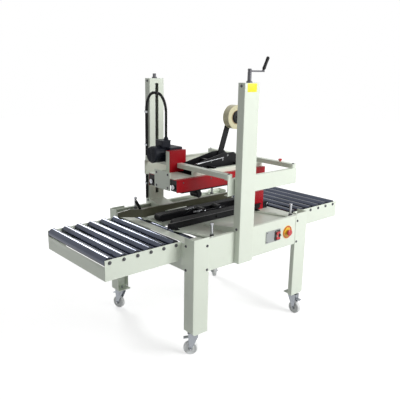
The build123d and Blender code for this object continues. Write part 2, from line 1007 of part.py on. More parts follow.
# Controls on the near panel
control_x = half_length - control_margin
control_z = panel_top - control_drop
rocker_x = control_x + rocker_offset
pin_y = -panel_y - control_depth - rocker_standoff - rocker_depth / 2
with BuildPart() as control_plate:
    with BuildSketch(Plane.XZ.offset(panel_y)):
        with Locations((control_x, control_z)):
            RectangleRounded(control_width, control_height, control_corner)
    extrude(amount=control_depth)
    for side in (-1, 1):
        near_edge = rocker_x + side * (rocker_width / 2 + lug_gap)
        far_edge = near_edge + side * lug_thickness
        lug_half = 3 * rocker_pin_radius
        add_block(
            (near_edge, pin_y - lug_half, control_z - lug_half),
            (far_edge, -panel_y - control_depth, control_z + lug_half),
        )
        add_bar_x(
            pin_y,
            control_z,
            rocker_pin_radius + running_gap,
            near_edge,
            far_edge,
            mode=Mode.SUBTRACT,
        )
save(control_plate, "control_plate")

with BuildPart() as rocker_switch:
    with BuildSketch(Plane.YZ.offset(rocker_x - rocker_width / 2)):
        with BuildLine():
            Polyline(
                (pin_y + rocker_depth / 2, control_z - rocker_height / 2),
                (pin_y + rocker_depth / 2, control_z + rocker_height / 2),
                (pin_y - rocker_depth / 2, control_z + rocker_height / 2),
                (pin_y - rocker_depth / 2 + rocker_dish, control_z),
                (pin_y - rocker_depth / 2, control_z - rocker_height / 2),
                close=True,
            )
        make_face()
    extrude(amount=rocker_width)
    pin_reach = rocker_width / 2 + lug_gap + lug_thickness
    add_bar_x(pin_y, control_z, rocker_pin_radius, rocker_x - pin_reach, rocker_x + pin_reach)
save(rocker_switch, "rocker_switch")

stop_x = half_length - stop_margin
stop_z = control_z - 1
stop_face = stop_disc + stop_collar
with BuildPart() as stop_button_base:
    add_turned(
        (stop_x, -panel_y, stop_z),
        (0, -1, 0),
        (
            (stop_stem_radius + running_gap, 0),
            (stop_disc_radius, 0),
            (stop_disc_radius, stop_disc),
            (stop_collar_radius + 2, stop_disc),
            (stop_collar_radius, stop_disc + 2),
            (stop_collar_radius, stop_face),
            (stop_stem_radius + running_gap, stop_face),
        ),
    )
save(stop_button_base, "stop_button_base")

with BuildPart() as stop_button:
    head_back = stop_face + stop_travel_gap
    add_turned(
        (stop_x, -panel_y, stop_z),
        (0, -1, 0),
        (
            (0, stop_face - stop_collar / 2),
            (stop_stem_radius, stop_face - stop_collar / 2),
            (stop_stem_radius, head_back),
            (stop_radius - 3, head_back),
            (stop_radius, head_back + 2),
            (stop_radius, head_back + stop_head - 4),
            (stop_radius - 4, head_back + stop_head - 1),
            (stop_radius / 2, head_back + stop_head),
            (0, head_back + stop_head),
        ),
    )
save(stop_button, "stop_button")

# Lift screws; the near one carries the crank
with BuildPart() as near_screw:
    screw_foot = bearing_bottom + screw_foot_gap
    with Locations((column_x, -column_y, screw_foot)):
        Cylinder(screw_radius, crank_z - screw_foot, align=LOW)
    with Locations((column_x, -column_y, column_top + collar_gap)):
        Cylinder(collar_radius, collar_height, align=LOW)
    with BuildSketch(Plane.XY.offset(crank_z)):
        with Locations((column_x + crank_arm_length / 2, -column_y)):
            SlotCenterToCenter(crank_arm_length, crank_arm_width)
    extrude(amount=crank_arm_thickness)
save(near_screw, "near_screw")

with BuildPart() as far_screw:
    with Locations((column_x, column_y, screw_foot)):
        Cylinder(screw_radius, column_top + far_screw_rise - screw_foot, align=LOW)
    with Locations((column_x, column_y, column_top + collar_gap)):
        Cylinder(collar_radius, collar_height, align=LOW)
save(far_screw, "far_screw")

with BuildPart() as crank_grip:
    lean = math.radians(grip_lean)
    add_turned(
        (column_x + crank_arm_length, -column_y, crank_z + crank_arm_thickness / 2),
        (math.sin(lean), 0, math.cos(lean)),
        (
            (0, 0),
            (grip_neck, 0),
            (grip_neck, grip_length * 0.12),
            (grip_radius, grip_length * 0.2),
            (grip_radius - 1, grip_length * 0.6),
            (grip_radius, grip_length * 0.92),
            (grip_neck, grip_length),
            (0, grip_length),
        ),
    )
    add_block(
        (column_x, -column_outer_y, crank_z - crank_arm_width),
        (
            column_x + crank_arm_length + crank_arm_width,
            -column_inner_y,
            crank_z + crank_arm_thickness,
        ),
        mode=Mode.SUBTRACT,
    )
save(crank_grip, "crank_grip")

# Head: side bars in the columns' slots, cross members and the drive's base plate
with BuildPart() as head_side_bars:
    for face in (-1, 1):
        with BuildSketch(Plane.YZ.offset(bar_infeed_x)) as channel:
            with BuildLine():
                Polyline(
                    (face * bar_outer_y, bar_z),
                    (face * bar_inner_y, bar_z),
                    (face * bar_inner_y, bar_z + bar_sheet),
                    (face * (bar_outer_y - bar_sheet), bar_z + bar_sheet),
                    (face * (bar_outer_y - bar_sheet), bar_top - bar_sheet),
                    (face * bar_inner_y, bar_top - bar_sheet),
                    (face * bar_inner_y, bar_top),
                    (face * bar_outer_y, bar_top),
                    close=True,
                )
            make_face()
        extrude(amount=bar_outfeed_x - bar_infeed_x)
save(head_side_bars, "head_side_bars")

with BuildPart() as head_cross_members:
    with BuildSketch(Plane.XY.offset(bar_top)):
        for x in (bar_infeed_x + crossbar_width / 2, bar_outfeed_x - crossbar_width / 2):
            with Locations((x, 0)):
                RectangleRounded(crossbar_width, 2 * bar_outer_y, crossbar_width / 3)
    extrude(amount=crossbar_height)
    add_block(
        (-unit_half_length, -base_near_y, guard_top),
        (bar_infeed_x, base_far_y, base_top),
    )
    with BuildSketch(Plane.YZ.offset(-unit_half_length - base_plate)):
        with Locations((0, bar_z - front_plate_drop)):
            Rectangle(2 * front_plate_half, front_plate_height, align=(Align.CENTER, Align.MIN))
    extrude(amount=base_plate)
save(head_cross_members, "head_cross_members")

with BuildPart() as head_rails:
    for face in (-1, 1):
        add_block(
            (bar_infeed_x, face * rail_inner_y, guard_top),
            (unit_half_length, face * (rail_inner_y + rail_width), bar_top),
        )
    add_block(
        (mount_infeed_x, rail_inner_y, base_top),
        (mount_outfeed_x, rail_inner_y + mount_plate, base_top + mount_height),
    )
    add_block(
        (bar_infeed_x - crossbar_gap, rail_inner_y, bar_top),
        (
            bar_infeed_x + crossbar_width + crossbar_gap,
            rail_inner_y + mount_plate,
            crossbar_top + crossbar_gap,
        ),
        mode=Mode.SUBTRACT,
    )
save(head_rails, "head_rails")

with BuildPart() as carriages:
    for face in (-1, 1):
        inner = column_inner_y + column_wall + carriage_gap
        outer = column_outer_y - column_wall - carriage_gap
        half = column_width / 2 - column_wall - carriage_gap
        low = bar_z - carriage_drop
        add_block(
            (column_x - half, face * inner, low),
            (column_x + half, face * outer, low + carriage_height),
        )
        add_block(
            (column_x - tongue_width / 2, face * inner, low + tongue_margin),
            (column_x + tongue_width / 2, face * bar_outer_y, low + carriage_height - tongue_margin),
        )
        with Locations((column_x, face * column_y, low)):
            Cylinder(screw_radius + running_gap, carriage_height, align=LOW, mode=Mode.SUBTRACT)
save(carriages, "carriages")

# Upper belt units: bent red guards, pulleys with the slider bed and end blocks, belts
with BuildPart() as belt_guards:
    for face in (-1, 1):
        with BuildSketch(Plane.YZ.offset(-unit_half_length)) as bent:
            with BuildLine():
                Polyline(
                    (face * unit_outer_y, guard_bottom),
                    (face * unit_outer_y, guard_top),
                    (face * unit_inner_y, guard_top),
                    (face * unit_inner_y, guard_top - guard_sheet),
                    (face * (unit_outer_y - guard_sheet), guard_top - guard_sheet),
                    (face * (unit_outer_y - guard_sheet), guard_bottom),
                    close=True,
                )
            make_face()
            outer_corner = [
                v
                for v in bent.vertices()
                if abs(abs(v.Y) - unit_outer_y) < 0.1 and abs(v.Z - guard_top) < 0.1
            ]
            fillet(outer_corner, guard_fillet)
        extrude(amount=2 * unit_half_length)
        add_profile_y(
            (
                (unit_half_length, guard_bottom),
                (unit_half_length - 2 * guard_taper, guard_bottom),
                (unit_half_length, guard_bottom + guard_taper),
            ),
            min(face * unit_outer_y, face * (unit_outer_y - guard_sheet)),
            guard_sheet,
            mode=Mode.SUBTRACT,
        )
save(belt_guards, "belt_guards")

upper_loop_radius = upper_pulley_radius + belt_thickness
upper_half_span = unit_half_length - end_block - upper_loop_radius - 2
with BuildPart() as upper_pulleys:
    for face in (-1, 1):
        inner = face * (unit_inner_y + belt_side_gap)
        outer = face * (unit_outer_y - guard_sheet)
        for x in (-upper_half_span, upper_half_span):
            add_bar_y(x, upper_belt_z, upper_pulley_radius, inner, outer)
        add_block(
            (-upper_half_span, inner, upper_belt_z - slider_half_height),
            (upper_half_span, outer, upper_belt_z + slider_half_height),
        )
        add_block(
            (-unit_half_length, inner, guard_bottom + belt_thickness),
            (-unit_half_length + end_block, outer, guard_top - guard_sheet),
        )
        add_block(
            (-unit_half_length, inner, upper_belt_z - 2 * belt_thickness),
            (-upper_half_span, inner + face * belt_thickness / 2, upper_belt_z + 2 * belt_thickness),
        )
        add_turned(
            (-unit_half_length, (inner + outer) / 2, upper_belt_z),
            (-1, 0, 0),
            (
                (0, 0),
                (end_bolt_radius, 0),
                (end_bolt_radius, end_bolt_height - 2),
                (end_bolt_radius - 3, end_bolt_height),
                (0, end_bolt_height),
            ),
        )
save(upper_pulleys, "upper_pulleys")

with BuildPart() as upper_belts:
    for face in (-1, 1):
        start = unit_inner_y + 2 * belt_side_gap
        width = unit_outer_y - guard_sheet - belt_side_gap - start
        with BuildSketch(Plane.XZ.offset(-face * start)):
            with Locations((0, upper_belt_z)):
                SlotCenterToCenter(2 * upper_half_span, 2 * upper_loop_radius)
                SlotCenterToCenter(2 * upper_half_span, 2 * upper_pulley_radius, mode=Mode.SUBTRACT)
        extrude(amount=-face * width)
save(upper_belts, "upper_belts")

# Drive: finned motor with its fan cowl, gearbox and terminal box; the chain cover
motor_z = bar_z + motor_rise
gearbox_bottom = crossbar_top
gearbox_top = gearbox_bottom + gearbox_height
with BuildPart() as drive_motor:
    core = motor_radius - fin_height
    length = gearbox_infeed_x - motor_infeed_x
    add_turned(
        (motor_infeed_x, motor_y, motor_z),
        (1, 0, 0),
        (
            (0, cowl_lip),
            (core - 2 * cowl_lip, cowl_lip),
            (core - cowl_lip, 0),
            (core, 0),
            (motor_radius, 2 * cowl_lip),
            (motor_radius, cowl_length),
            (core, cowl_length),
            (core, length - 8),
            (motor_radius, length - 8),
            (motor_radius, length),
            (0, length),
        ),
    )
    with BuildSketch(Plane.YZ.offset(motor_infeed_x + cowl_length)):
        with Locations((motor_y, motor_z)):
            with PolarLocations(motor_radius - fin_height / 2 - 0.5, fin_count):
                Rectangle(fin_height + 1, fin_width)
    extrude(amount=length - 8 - cowl_length)
    with BuildSketch(Plane.XY.offset(gearbox_top)):
        with Locations(((box_infeed_x + box_outfeed_x) / 2, (box_near_y + box_far_y) / 2)):
            RectangleRounded(box_outfeed_x - box_infeed_x, box_far_y - box_near_y, box_fillet)
    extrude(amount=box_height)
    with Locations((conduit_x, conduit_y, gearbox_top + box_height)):
        Cylinder(gland_radius, gland_height, align=LOW)
        Cylinder(conduit_radius + running_gap, gland_height, align=LOW, mode=Mode.SUBTRACT)
save(drive_motor, "drive_motor")

with BuildPart() as gearbox:
    gearbox_inner_y = rail_inner_y + mount_plate
    with BuildSketch(Plane.XY.offset(gearbox_bottom)) as outline:
        with Locations(
            ((gearbox_infeed_x + gearbox_outfeed_x) / 2, (gearbox_inner_y + gearbox_outer_y) / 2)
        ):
            Rectangle(gearbox_outfeed_x - gearbox_infeed_x, gearbox_outer_y - gearbox_inner_y)
        fillet(outline.vertices().group_by(Axis.Y)[-1], gearbox_fillet)
    extrude(amount=gearbox_height)
save(gearbox, "gearbox")

with BuildPart() as chain_cover:
    with BuildSketch(Plane.XY.offset(base_top)) as outline:
        with Locations(((cover_infeed_x + cover_outfeed_x) / 2, (cover_inner_y + rail_inner_y) / 2)):
            Rectangle(cover_outfeed_x - cover_infeed_x, rail_inner_y - cover_inner_y)
        fillet(outline.vertices().group_by(Axis.Y)[0], cover_corner)
    extrude(amount=cover_height)
    add_block(
        (bar_infeed_x - crossbar_gap, cover_inner_y, bar_top - crossbar_gap),
        (
            bar_infeed_x + crossbar_width + crossbar_gap,
            rail_inner_y,
            crossbar_top + crossbar_gap,
        ),
        mode=Mode.SUBTRACT,
    )
save(chain_cover, "chain_cover")

# Upper tape head
tape_inner_y = tape_outer_y - tape_plate
pivot_z = bar_z + pivot_rise
applier_z = bar_z - applier_drop
with BuildPart() as tape_head_frame:
    for face in (-1, 1):
        inner = min(face * tape_inner_y, face * tape_outer_y)
        add_profile_y(
            (
                (tape_infeed_x, bar_z - tape_low + 10),
                (tape_infeed_x + tape_knee, bar_z - tape_low),
                (tape_outfeed_x, bar_z - tape_low),
                (tape_outfeed_x, bar_z + tape_outfeed_high),
                (roll_x - roll_arm_width, bar_z + tape_high),
                (tape_knee, bar_z + tape_high),
                (tape_infeed_x, bar_z + tape_infeed_high),
            ),
            inner,
            tape_plate,
            corner=tape_corner,
        )
        add_bar_y(
            pivot_x,
            pivot_z,
            pivot_radius + running_gap,
            face * tape_inner_y,
            face * tape_outer_y,
            mode=Mode.SUBTRACT,
        )
        with BuildSketch(Plane.XZ.offset(-inner)):
            with Locations((tape_outfeed_x / 3, bar_z + tape_knee / 2)):
                SlotCenterToCenter(2 * tape_knee, tape_roller_radius)
        extrude(amount=-tape_plate, mode=Mode.SUBTRACT)
    for x in (guide_roller_x, -guide_roller_x / 2):
        add_bar_y(
            x,
            bar_z + guide_roller_rise,
            guide_roller_radius,
            -tape_inner_y,
            tape_inner_y,
        )
    rail_outer_y = rail_inner_y + rail_width
    for x in (hanger_infeed_x, hanger_outfeed_x):
        add_block(
            (x - hanger_width / 2, -rail_outer_y, bar_top),
            (x + hanger_width / 2, rail_outer_y, bar_top + hanger_height),
        )
save(tape_head_frame, "tape_head_frame")

with BuildPart() as roller_arm:
    arm_y = tape_inner_y - arm_side_gap
    arm_angle = math.degrees(math.atan2(applier_z - pivot_z, applier_x - pivot_x))
    arm_length = math.hypot(applier_z - pivot_z, applier_x - pivot_x)
    for face in (-1, 1):
        with BuildSketch(Plane.XZ.offset(-face * (arm_y - arm_sheet))):
            with Locations(
                Location(((pivot_x + applier_x) / 2, (pivot_z + applier_z) / 2), arm_angle)
            ):
                SlotCenterToCenter(arm_length, arm_width)
        extrude(amount=-face * arm_sheet)
    add_bar_y(pivot_x, pivot_z, pivot_radius, -tape_outer_y, tape_outer_y)
    face_y = arm_y - arm_sheet
    add_turned(
        (applier_x, 0, applier_z),
        (0, 1, 0),
        (
            (0, -face_y),
            (tape_roller_radius - 3, -face_y),
            (tape_roller_radius, -face_y + 2),
            (tape_roller_radius, face_y - 2),
            (tape_roller_radius - 3, face_y),
            (0, face_y),
        ),
    )
save(roller_arm, "roller_arm")

roll_z = bar_z + roll_rise
roll_arm_foot_z = bar_z + roll_arm_foot_rise
with BuildPart() as roll_arm:
    lean_angle = math.degrees(math.atan2(roll_z - roll_arm_foot_z, roll_x - roll_arm_foot_x))
    lean_length = math.hypot(roll_z - roll_arm_foot_z, roll_x - roll_arm_foot_x)
    with BuildSketch(Plane.XZ.offset(-tape_inner_y)):
        with Locations(
            Location(((roll_arm_foot_x + roll_x) / 2, (roll_arm_foot_z + roll_z) / 2), lean_angle)
        ):
            SlotCenterToCenter(lean_length, roll_arm_width)
    extrude(amount=roll_arm_thickness)
    hub_back = tape_inner_y - roll_arm_thickness
    add_turned(
        (roll_x, 0, roll_z),
        (0, 1, 0),
        (
            (0, -roll_width / 2 - guard_sheet),
            (pivot_radius, -roll_width / 2 - guard_sheet),
            (core_radius - running_gap - 3, -roll_width / 2),
            (core_radius - running_gap, -roll_width / 2 + guard_sheet),
            (core_radius - running_gap, roll_width / 2),
            (core_radius - 2 * core_wall, hub_back),
            (0, hub_back),
        ),
    )
save(roll_arm, "roll_arm")

with BuildPart() as tape_roll:
    half_roll = roll_width / 2
    add_turned(
        (roll_x, 0, roll_z),
        (0, 1, 0),
        (
            (core_radius, -half_roll),
            (core_radius + core_wall, -half_roll),
            (core_radius + core_wall, -half_roll + 1),
            (roll_radius, -half_roll + 1),
            (roll_radius, half_roll - 1),
            (core_radius + core_wall, half_roll - 1),
            (core_radius + core_wall, half_roll),
            (core_radius, half_roll),
        ),
    )
save(tape_roll, "tape_roll")

# Conduit: clipped to the far column, over in an arch and down into the terminal box
clip_x = column_low_x - conduit_radius - conduit_gap
conduit_foot = deck_top + conduit_rise
conduit_head = deck_top + conduit_top
conduit_end = gearbox_top + box_height + 1
with BuildPart() as conduit:
    with BuildLine() as route:
        FilletPolyline(
            (clip_x, column_y, conduit_foot),
            (clip_x, column_y, conduit_head),
            (conduit_x, conduit_y, conduit_head),
            (conduit_x, conduit_y, conduit_end),
            radius=conduit_bend,
        )
    with BuildSketch(Plane((clip_x, column_y, conduit_foot), z_dir=(0, 0, 1))):
        Circle(conduit_radius)
    sweep(path=route.wire())
    for rise in clip_heights:
        with Locations((clip_x, column_y, conduit_foot + rise)):
            Cylinder(conduit_radius + clip_wall, clip_height, align=LOW)
    add_block(
        (column_low_x, column_y - column_depth, conduit_foot),
        (column_x, column_y + column_depth, conduit_head),
        mode=Mode.SUBTRACT,
    )
save(conduit, "conduit")
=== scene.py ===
import bmesh
import bpy
import math
import numpy as np
from mathutils import Matrix, Vector


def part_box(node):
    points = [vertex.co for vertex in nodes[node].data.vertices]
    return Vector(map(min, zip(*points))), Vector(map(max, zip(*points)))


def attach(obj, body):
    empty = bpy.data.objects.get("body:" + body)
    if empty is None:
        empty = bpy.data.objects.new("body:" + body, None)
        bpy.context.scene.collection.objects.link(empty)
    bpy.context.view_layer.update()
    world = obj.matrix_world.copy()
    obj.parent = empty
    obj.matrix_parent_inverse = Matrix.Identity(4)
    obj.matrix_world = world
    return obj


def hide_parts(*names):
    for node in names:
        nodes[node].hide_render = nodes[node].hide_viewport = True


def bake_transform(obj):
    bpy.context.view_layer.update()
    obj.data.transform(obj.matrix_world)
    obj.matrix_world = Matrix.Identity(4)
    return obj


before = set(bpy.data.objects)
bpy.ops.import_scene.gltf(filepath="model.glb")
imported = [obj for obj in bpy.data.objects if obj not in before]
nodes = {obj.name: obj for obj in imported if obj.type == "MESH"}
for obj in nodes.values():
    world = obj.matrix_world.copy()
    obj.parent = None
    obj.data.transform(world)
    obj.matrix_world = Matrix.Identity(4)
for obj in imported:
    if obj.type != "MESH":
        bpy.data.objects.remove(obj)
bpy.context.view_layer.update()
box = {name: (Vector(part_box(name)[0]), Vector(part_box(name)[1])) for name in nodes}


def addNode(tree, kind, **values):
    node = tree.nodes.new(kind)
    for key, value in values.items():
        if hasattr(node, key):
            setattr(node, key, value)
        else:
            node.inputs[key.replace("_", " ")].default_value = value
    return node


def newGroup(name, inputs, outputs):
    group = bpy.data.node_groups.new(name, "ShaderNodeTree")
    for label, kind, value in inputs:
        socket = group.interface.new_socket(label, in_out="INPUT", socket_type="NodeSocket" + kind)
        socket.default_value = value
    for label, kind in outputs:
        group.interface.new_socket(label, in_out="OUTPUT", socket_type="NodeSocket" + kind)
    return group, group.nodes.new("NodeGroupInput"), group.nodes.new("NodeGroupOutput")


# Colour = mix(base, worn, smoothstep of a fine noise), then dirt by a second, larger noise
def makeWearGroup():
    group, start, end = newGroup(
        "surfaceWear",
        [
            ("Base", "Color", (0.8, 0.8, 0.8, 1)),
            ("Worn", "Color", (0.4, 0.4, 0.4, 1)),
            ("Scale", "Float", 20),
            ("Amount", "Float", 0.3),
            ("Dirt", "Float", 0.1),
        ],
        [("Color", "Color"), ("Mask", "Float")],
    )
    link = group.links.new
    where = addNode(group, "ShaderNodeTexCoord")
    fine = addNode(group, "ShaderNodeTexNoise", Detail=6, Roughness=0.62)
    coarse = addNode(group, "ShaderNodeTexNoise", Scale=3.1, Detail=3, Roughness=0.5)
    cut = addNode(group, "ShaderNodeMapRange", From_Min=0.56, From_Max=0.78)
    amount = addNode(group, "ShaderNodeMath", operation="MULTIPLY")
    wear = addNode(group, "ShaderNodeMix", data_type="RGBA")
    dirtRange = addNode(group, "ShaderNodeMapRange", From_Min=0.35, From_Max=0.7)
    dirtAmount = addNode(group, "ShaderNodeMath", operation="MULTIPLY")
    dirty = addNode(group, "ShaderNodeMix", data_type="RGBA")
    link(where.outputs["Object"], fine.inputs["Vector"])
    link(where.outputs["Object"], coarse.inputs["Vector"])
    link(start.outputs["Scale"], fine.inputs["Scale"])
    link(fine.outputs["Fac"], cut.inputs["Value"])
    link(cut.outputs["Result"], amount.inputs[0])
    link(start.outputs["Amount"], amount.inputs[1])
    link(amount.outputs[0], wear.inputs["Factor"])
    link(start.outputs["Base"], wear.inputs["A"])
    link(start.outputs["Worn"], wear.inputs["B"])
    link(coarse.outputs["Fac"], dirtRange.inputs["Value"])
    link(dirtRange.outputs["Result"], dirtAmount.inputs[0])
    link(start.outputs["Dirt"], dirtAmount.inputs[1])
    link(dirtAmount.outputs[0], dirty.inputs["Factor"])
    link(wear.outputs["Result"], dirty.inputs["A"])
    link(start.outputs["Worn"], dirty.inputs["B"])
    link(dirty.outputs["Result"], end.inputs["Color"])
    link(amount.outputs[0], end.inputs["Mask"])
    return group


# Height = noise(position * stretch) + ribDepth * sin(x * ribScale); the noise also moves the roughness
def makeGrainGroup():
    group, start, end = newGroup(
        "surfaceGrain",
        [
            ("Scale", "Float", 400),
            ("Stretch", "Vector", (1, 1, 1)),
            ("Strength", "Float", 0.1),
            ("Rough Low", "Float", 0.3),
            ("Rough High", "Float", 0.5),
            ("Rib Scale", "Float", 0),
            ("Rib Depth", "Float", 0),
        ],
        [("Roughness", "Float"), ("Normal", "Vector")],
    )
    link = group.links.new
    where = addNode(group, "ShaderNodeTexCoord")
    stretch = addNode(group, "ShaderNodeVectorMath", operation="MULTIPLY")
    noise = addNode(group, "ShaderNodeTexNoise", Detail=3, Roughness=0.55)
    rough = addNode(group, "ShaderNodeMapRange", From_Min=0.3, From_Max=0.7)
    axes = addNode(group, "ShaderNodeSeparateXYZ")
    phase = addNode(group, "ShaderNodeMath", operation="MULTIPLY")
    wave = addNode(group, "ShaderNodeMath", operation="SINE")
    rib = addNode(group, "ShaderNodeMath", operation="MULTIPLY")
    height = addNode(group, "ShaderNodeMath", operation="ADD")
    bump = addNode(group, "ShaderNodeBump", Distance=0.0006)
    link(where.outputs["Object"], stretch.inputs[0])
    link(start.outputs["Stretch"], stretch.inputs[1])
    link(stretch.outputs[0], noise.inputs["Vector"])
    link(start.outputs["Scale"], noise.inputs["Scale"])
    link(noise.outputs["Fac"], rough.inputs["Value"])
    link(start.outputs["Rough Low"], rough.inputs["To Min"])
    link(start.outputs["Rough High"], rough.inputs["To Max"])
    link(where.outputs["Object"], axes.inputs[0])
    link(axes.outputs["X"], phase.inputs[0])
    link(start.outputs["Rib Scale"], phase.inputs[1])
    link(phase.outputs[0], wave.inputs[0])
    link(wave.outputs[0], rib.inputs[0])
    link(start.outputs["Rib Depth"], rib.inputs[1])
    link(noise.outputs["Fac"], height.inputs[0])
    link(rib.outputs[0], height.inputs[1])
    link(height.outputs[0], bump.inputs["Height"])
    link(start.outputs["Strength"], bump.inputs["Strength"])
    link(rough.outputs["Result"], end.inputs["Roughness"])
    link(bump.outputs["Normal"], end.inputs["Normal"])
    return group


# Mask = noise of the distance from an axis along Y through Centre, which shows a roll's wound layers
def makeLayerGroup():
    group, start, end = newGroup(
        "woundLayers",
        [
            ("Base", "Color", (0.8, 0.8, 0.8, 1)),
            ("Edge", "Color", (0.5, 0.4, 0.3, 1)),
            ("Centre", "Vector", (0, 0, 0)),
            ("Scale", "Float", 900),
        ],
        [("Color", "Color")],
    )
    link = group.links.new
    where = addNode(group, "ShaderNodeTexCoord")
    shift = addNode(group, "ShaderNodeVectorMath", operation="SUBTRACT")
    flat = addNode(group, "ShaderNodeVectorMath", operation="MULTIPLY")
    flat.inputs[1].default_value = (1, 0, 1)
    length = addNode(group, "ShaderNodeVectorMath", operation="LENGTH")
    noise = addNode(group, "ShaderNodeTexNoise", noise_dimensions="1D", Detail=3)
    blend = addNode(group, "ShaderNodeMapRange", From_Min=0.42, From_Max=0.66)
    colour = addNode(group, "ShaderNodeMix", data_type="RGBA")
    link(where.outputs["Object"], shift.inputs[0])
    link(start.outputs["Centre"], shift.inputs[1])
    link(shift.outputs[0], flat.inputs[0])
    link(flat.outputs[0], length.inputs[0])
    link(length.outputs["Value"], noise.inputs["W"])
    link(start.outputs["Scale"], noise.inputs["Scale"])
    link(noise.outputs["Fac"], blend.inputs["Value"])
    link(blend.outputs["Result"], colour.inputs["Factor"])
    link(start.outputs["Base"], colour.inputs["A"])
    link(start.outputs["Edge"], colour.inputs["B"])
    link(colour.outputs["Result"], end.inputs["Color"])
    return group


wearGroup = makeWearGroup()
grainGroup = makeGrainGroup()
layerGroup = makeLayerGroup()


def useGroup(tree, group, **values):
    node = addNode(tree, "ShaderNodeGroup", node_tree=group)
    for key, value in values.items():
        node.inputs[key.replace("_", " ")].default_value = value
    return node


def makeMaterial(name, facts):
    material = bpy.data.materials.new(name)
    material.use_nodes = True
    tree = material.node_tree
    shader = tree.nodes["Principled BSDF"]
    shader.inputs["Metallic"].default_value = facts.get("metallic", 0)
    shader.inputs["Specular IOR Level"].default_value = facts.get("specular", 0.5)
    shader.inputs["Coat Weight"].default_value = facts.get("coat", 0)
    shader.inputs["Coat Roughness"].default_value = facts.get("coatRoughness", 0.15)
    wear = useGroup(
        tree,
        wearGroup,
        Base=(*facts["base"], 1),
        Worn=(*facts["worn"], 1),
        Scale=facts.get("wearScale", 25),
        Amount=facts.get("wear", 0.2),
        Dirt=facts.get("dirt", 0.08),
    )
    grain = useGroup(
        tree,
        grainGroup,
        Scale=facts.get("grainScale", 500),
        Stretch=facts.get("stretch", (1, 1, 1)),
        Strength=facts.get("bump", 0.1),
        Rough_Low=facts["rough"][0],
        Rough_High=facts["rough"][1],
        Rib_Scale=facts.get("ribScale", 0),
        Rib_Depth=facts.get("ribDepth", 0),
    )
    if "centre" in facts:
        layers = useGroup(tree, layerGroup, Edge=(*facts["layer"], 1), Centre=facts["centre"])
        tree.links.new(wear.outputs["Color"], layers.inputs["Base"])
        tree.links.new(layers.outputs["Color"], shader.inputs["Base Color"])
    else:
        tree.links.new(wear.outputs["Color"], shader.inputs["Base Color"])
    tree.links.new(grain.outputs["Roughness"], shader.inputs["Roughness"])
    tree.links.new(grain.outputs["Normal"], shader.inputs["Normal"])
    return material


rollCentre = (box["tape_roll"][0] + box["tape_roll"][1]) / 2

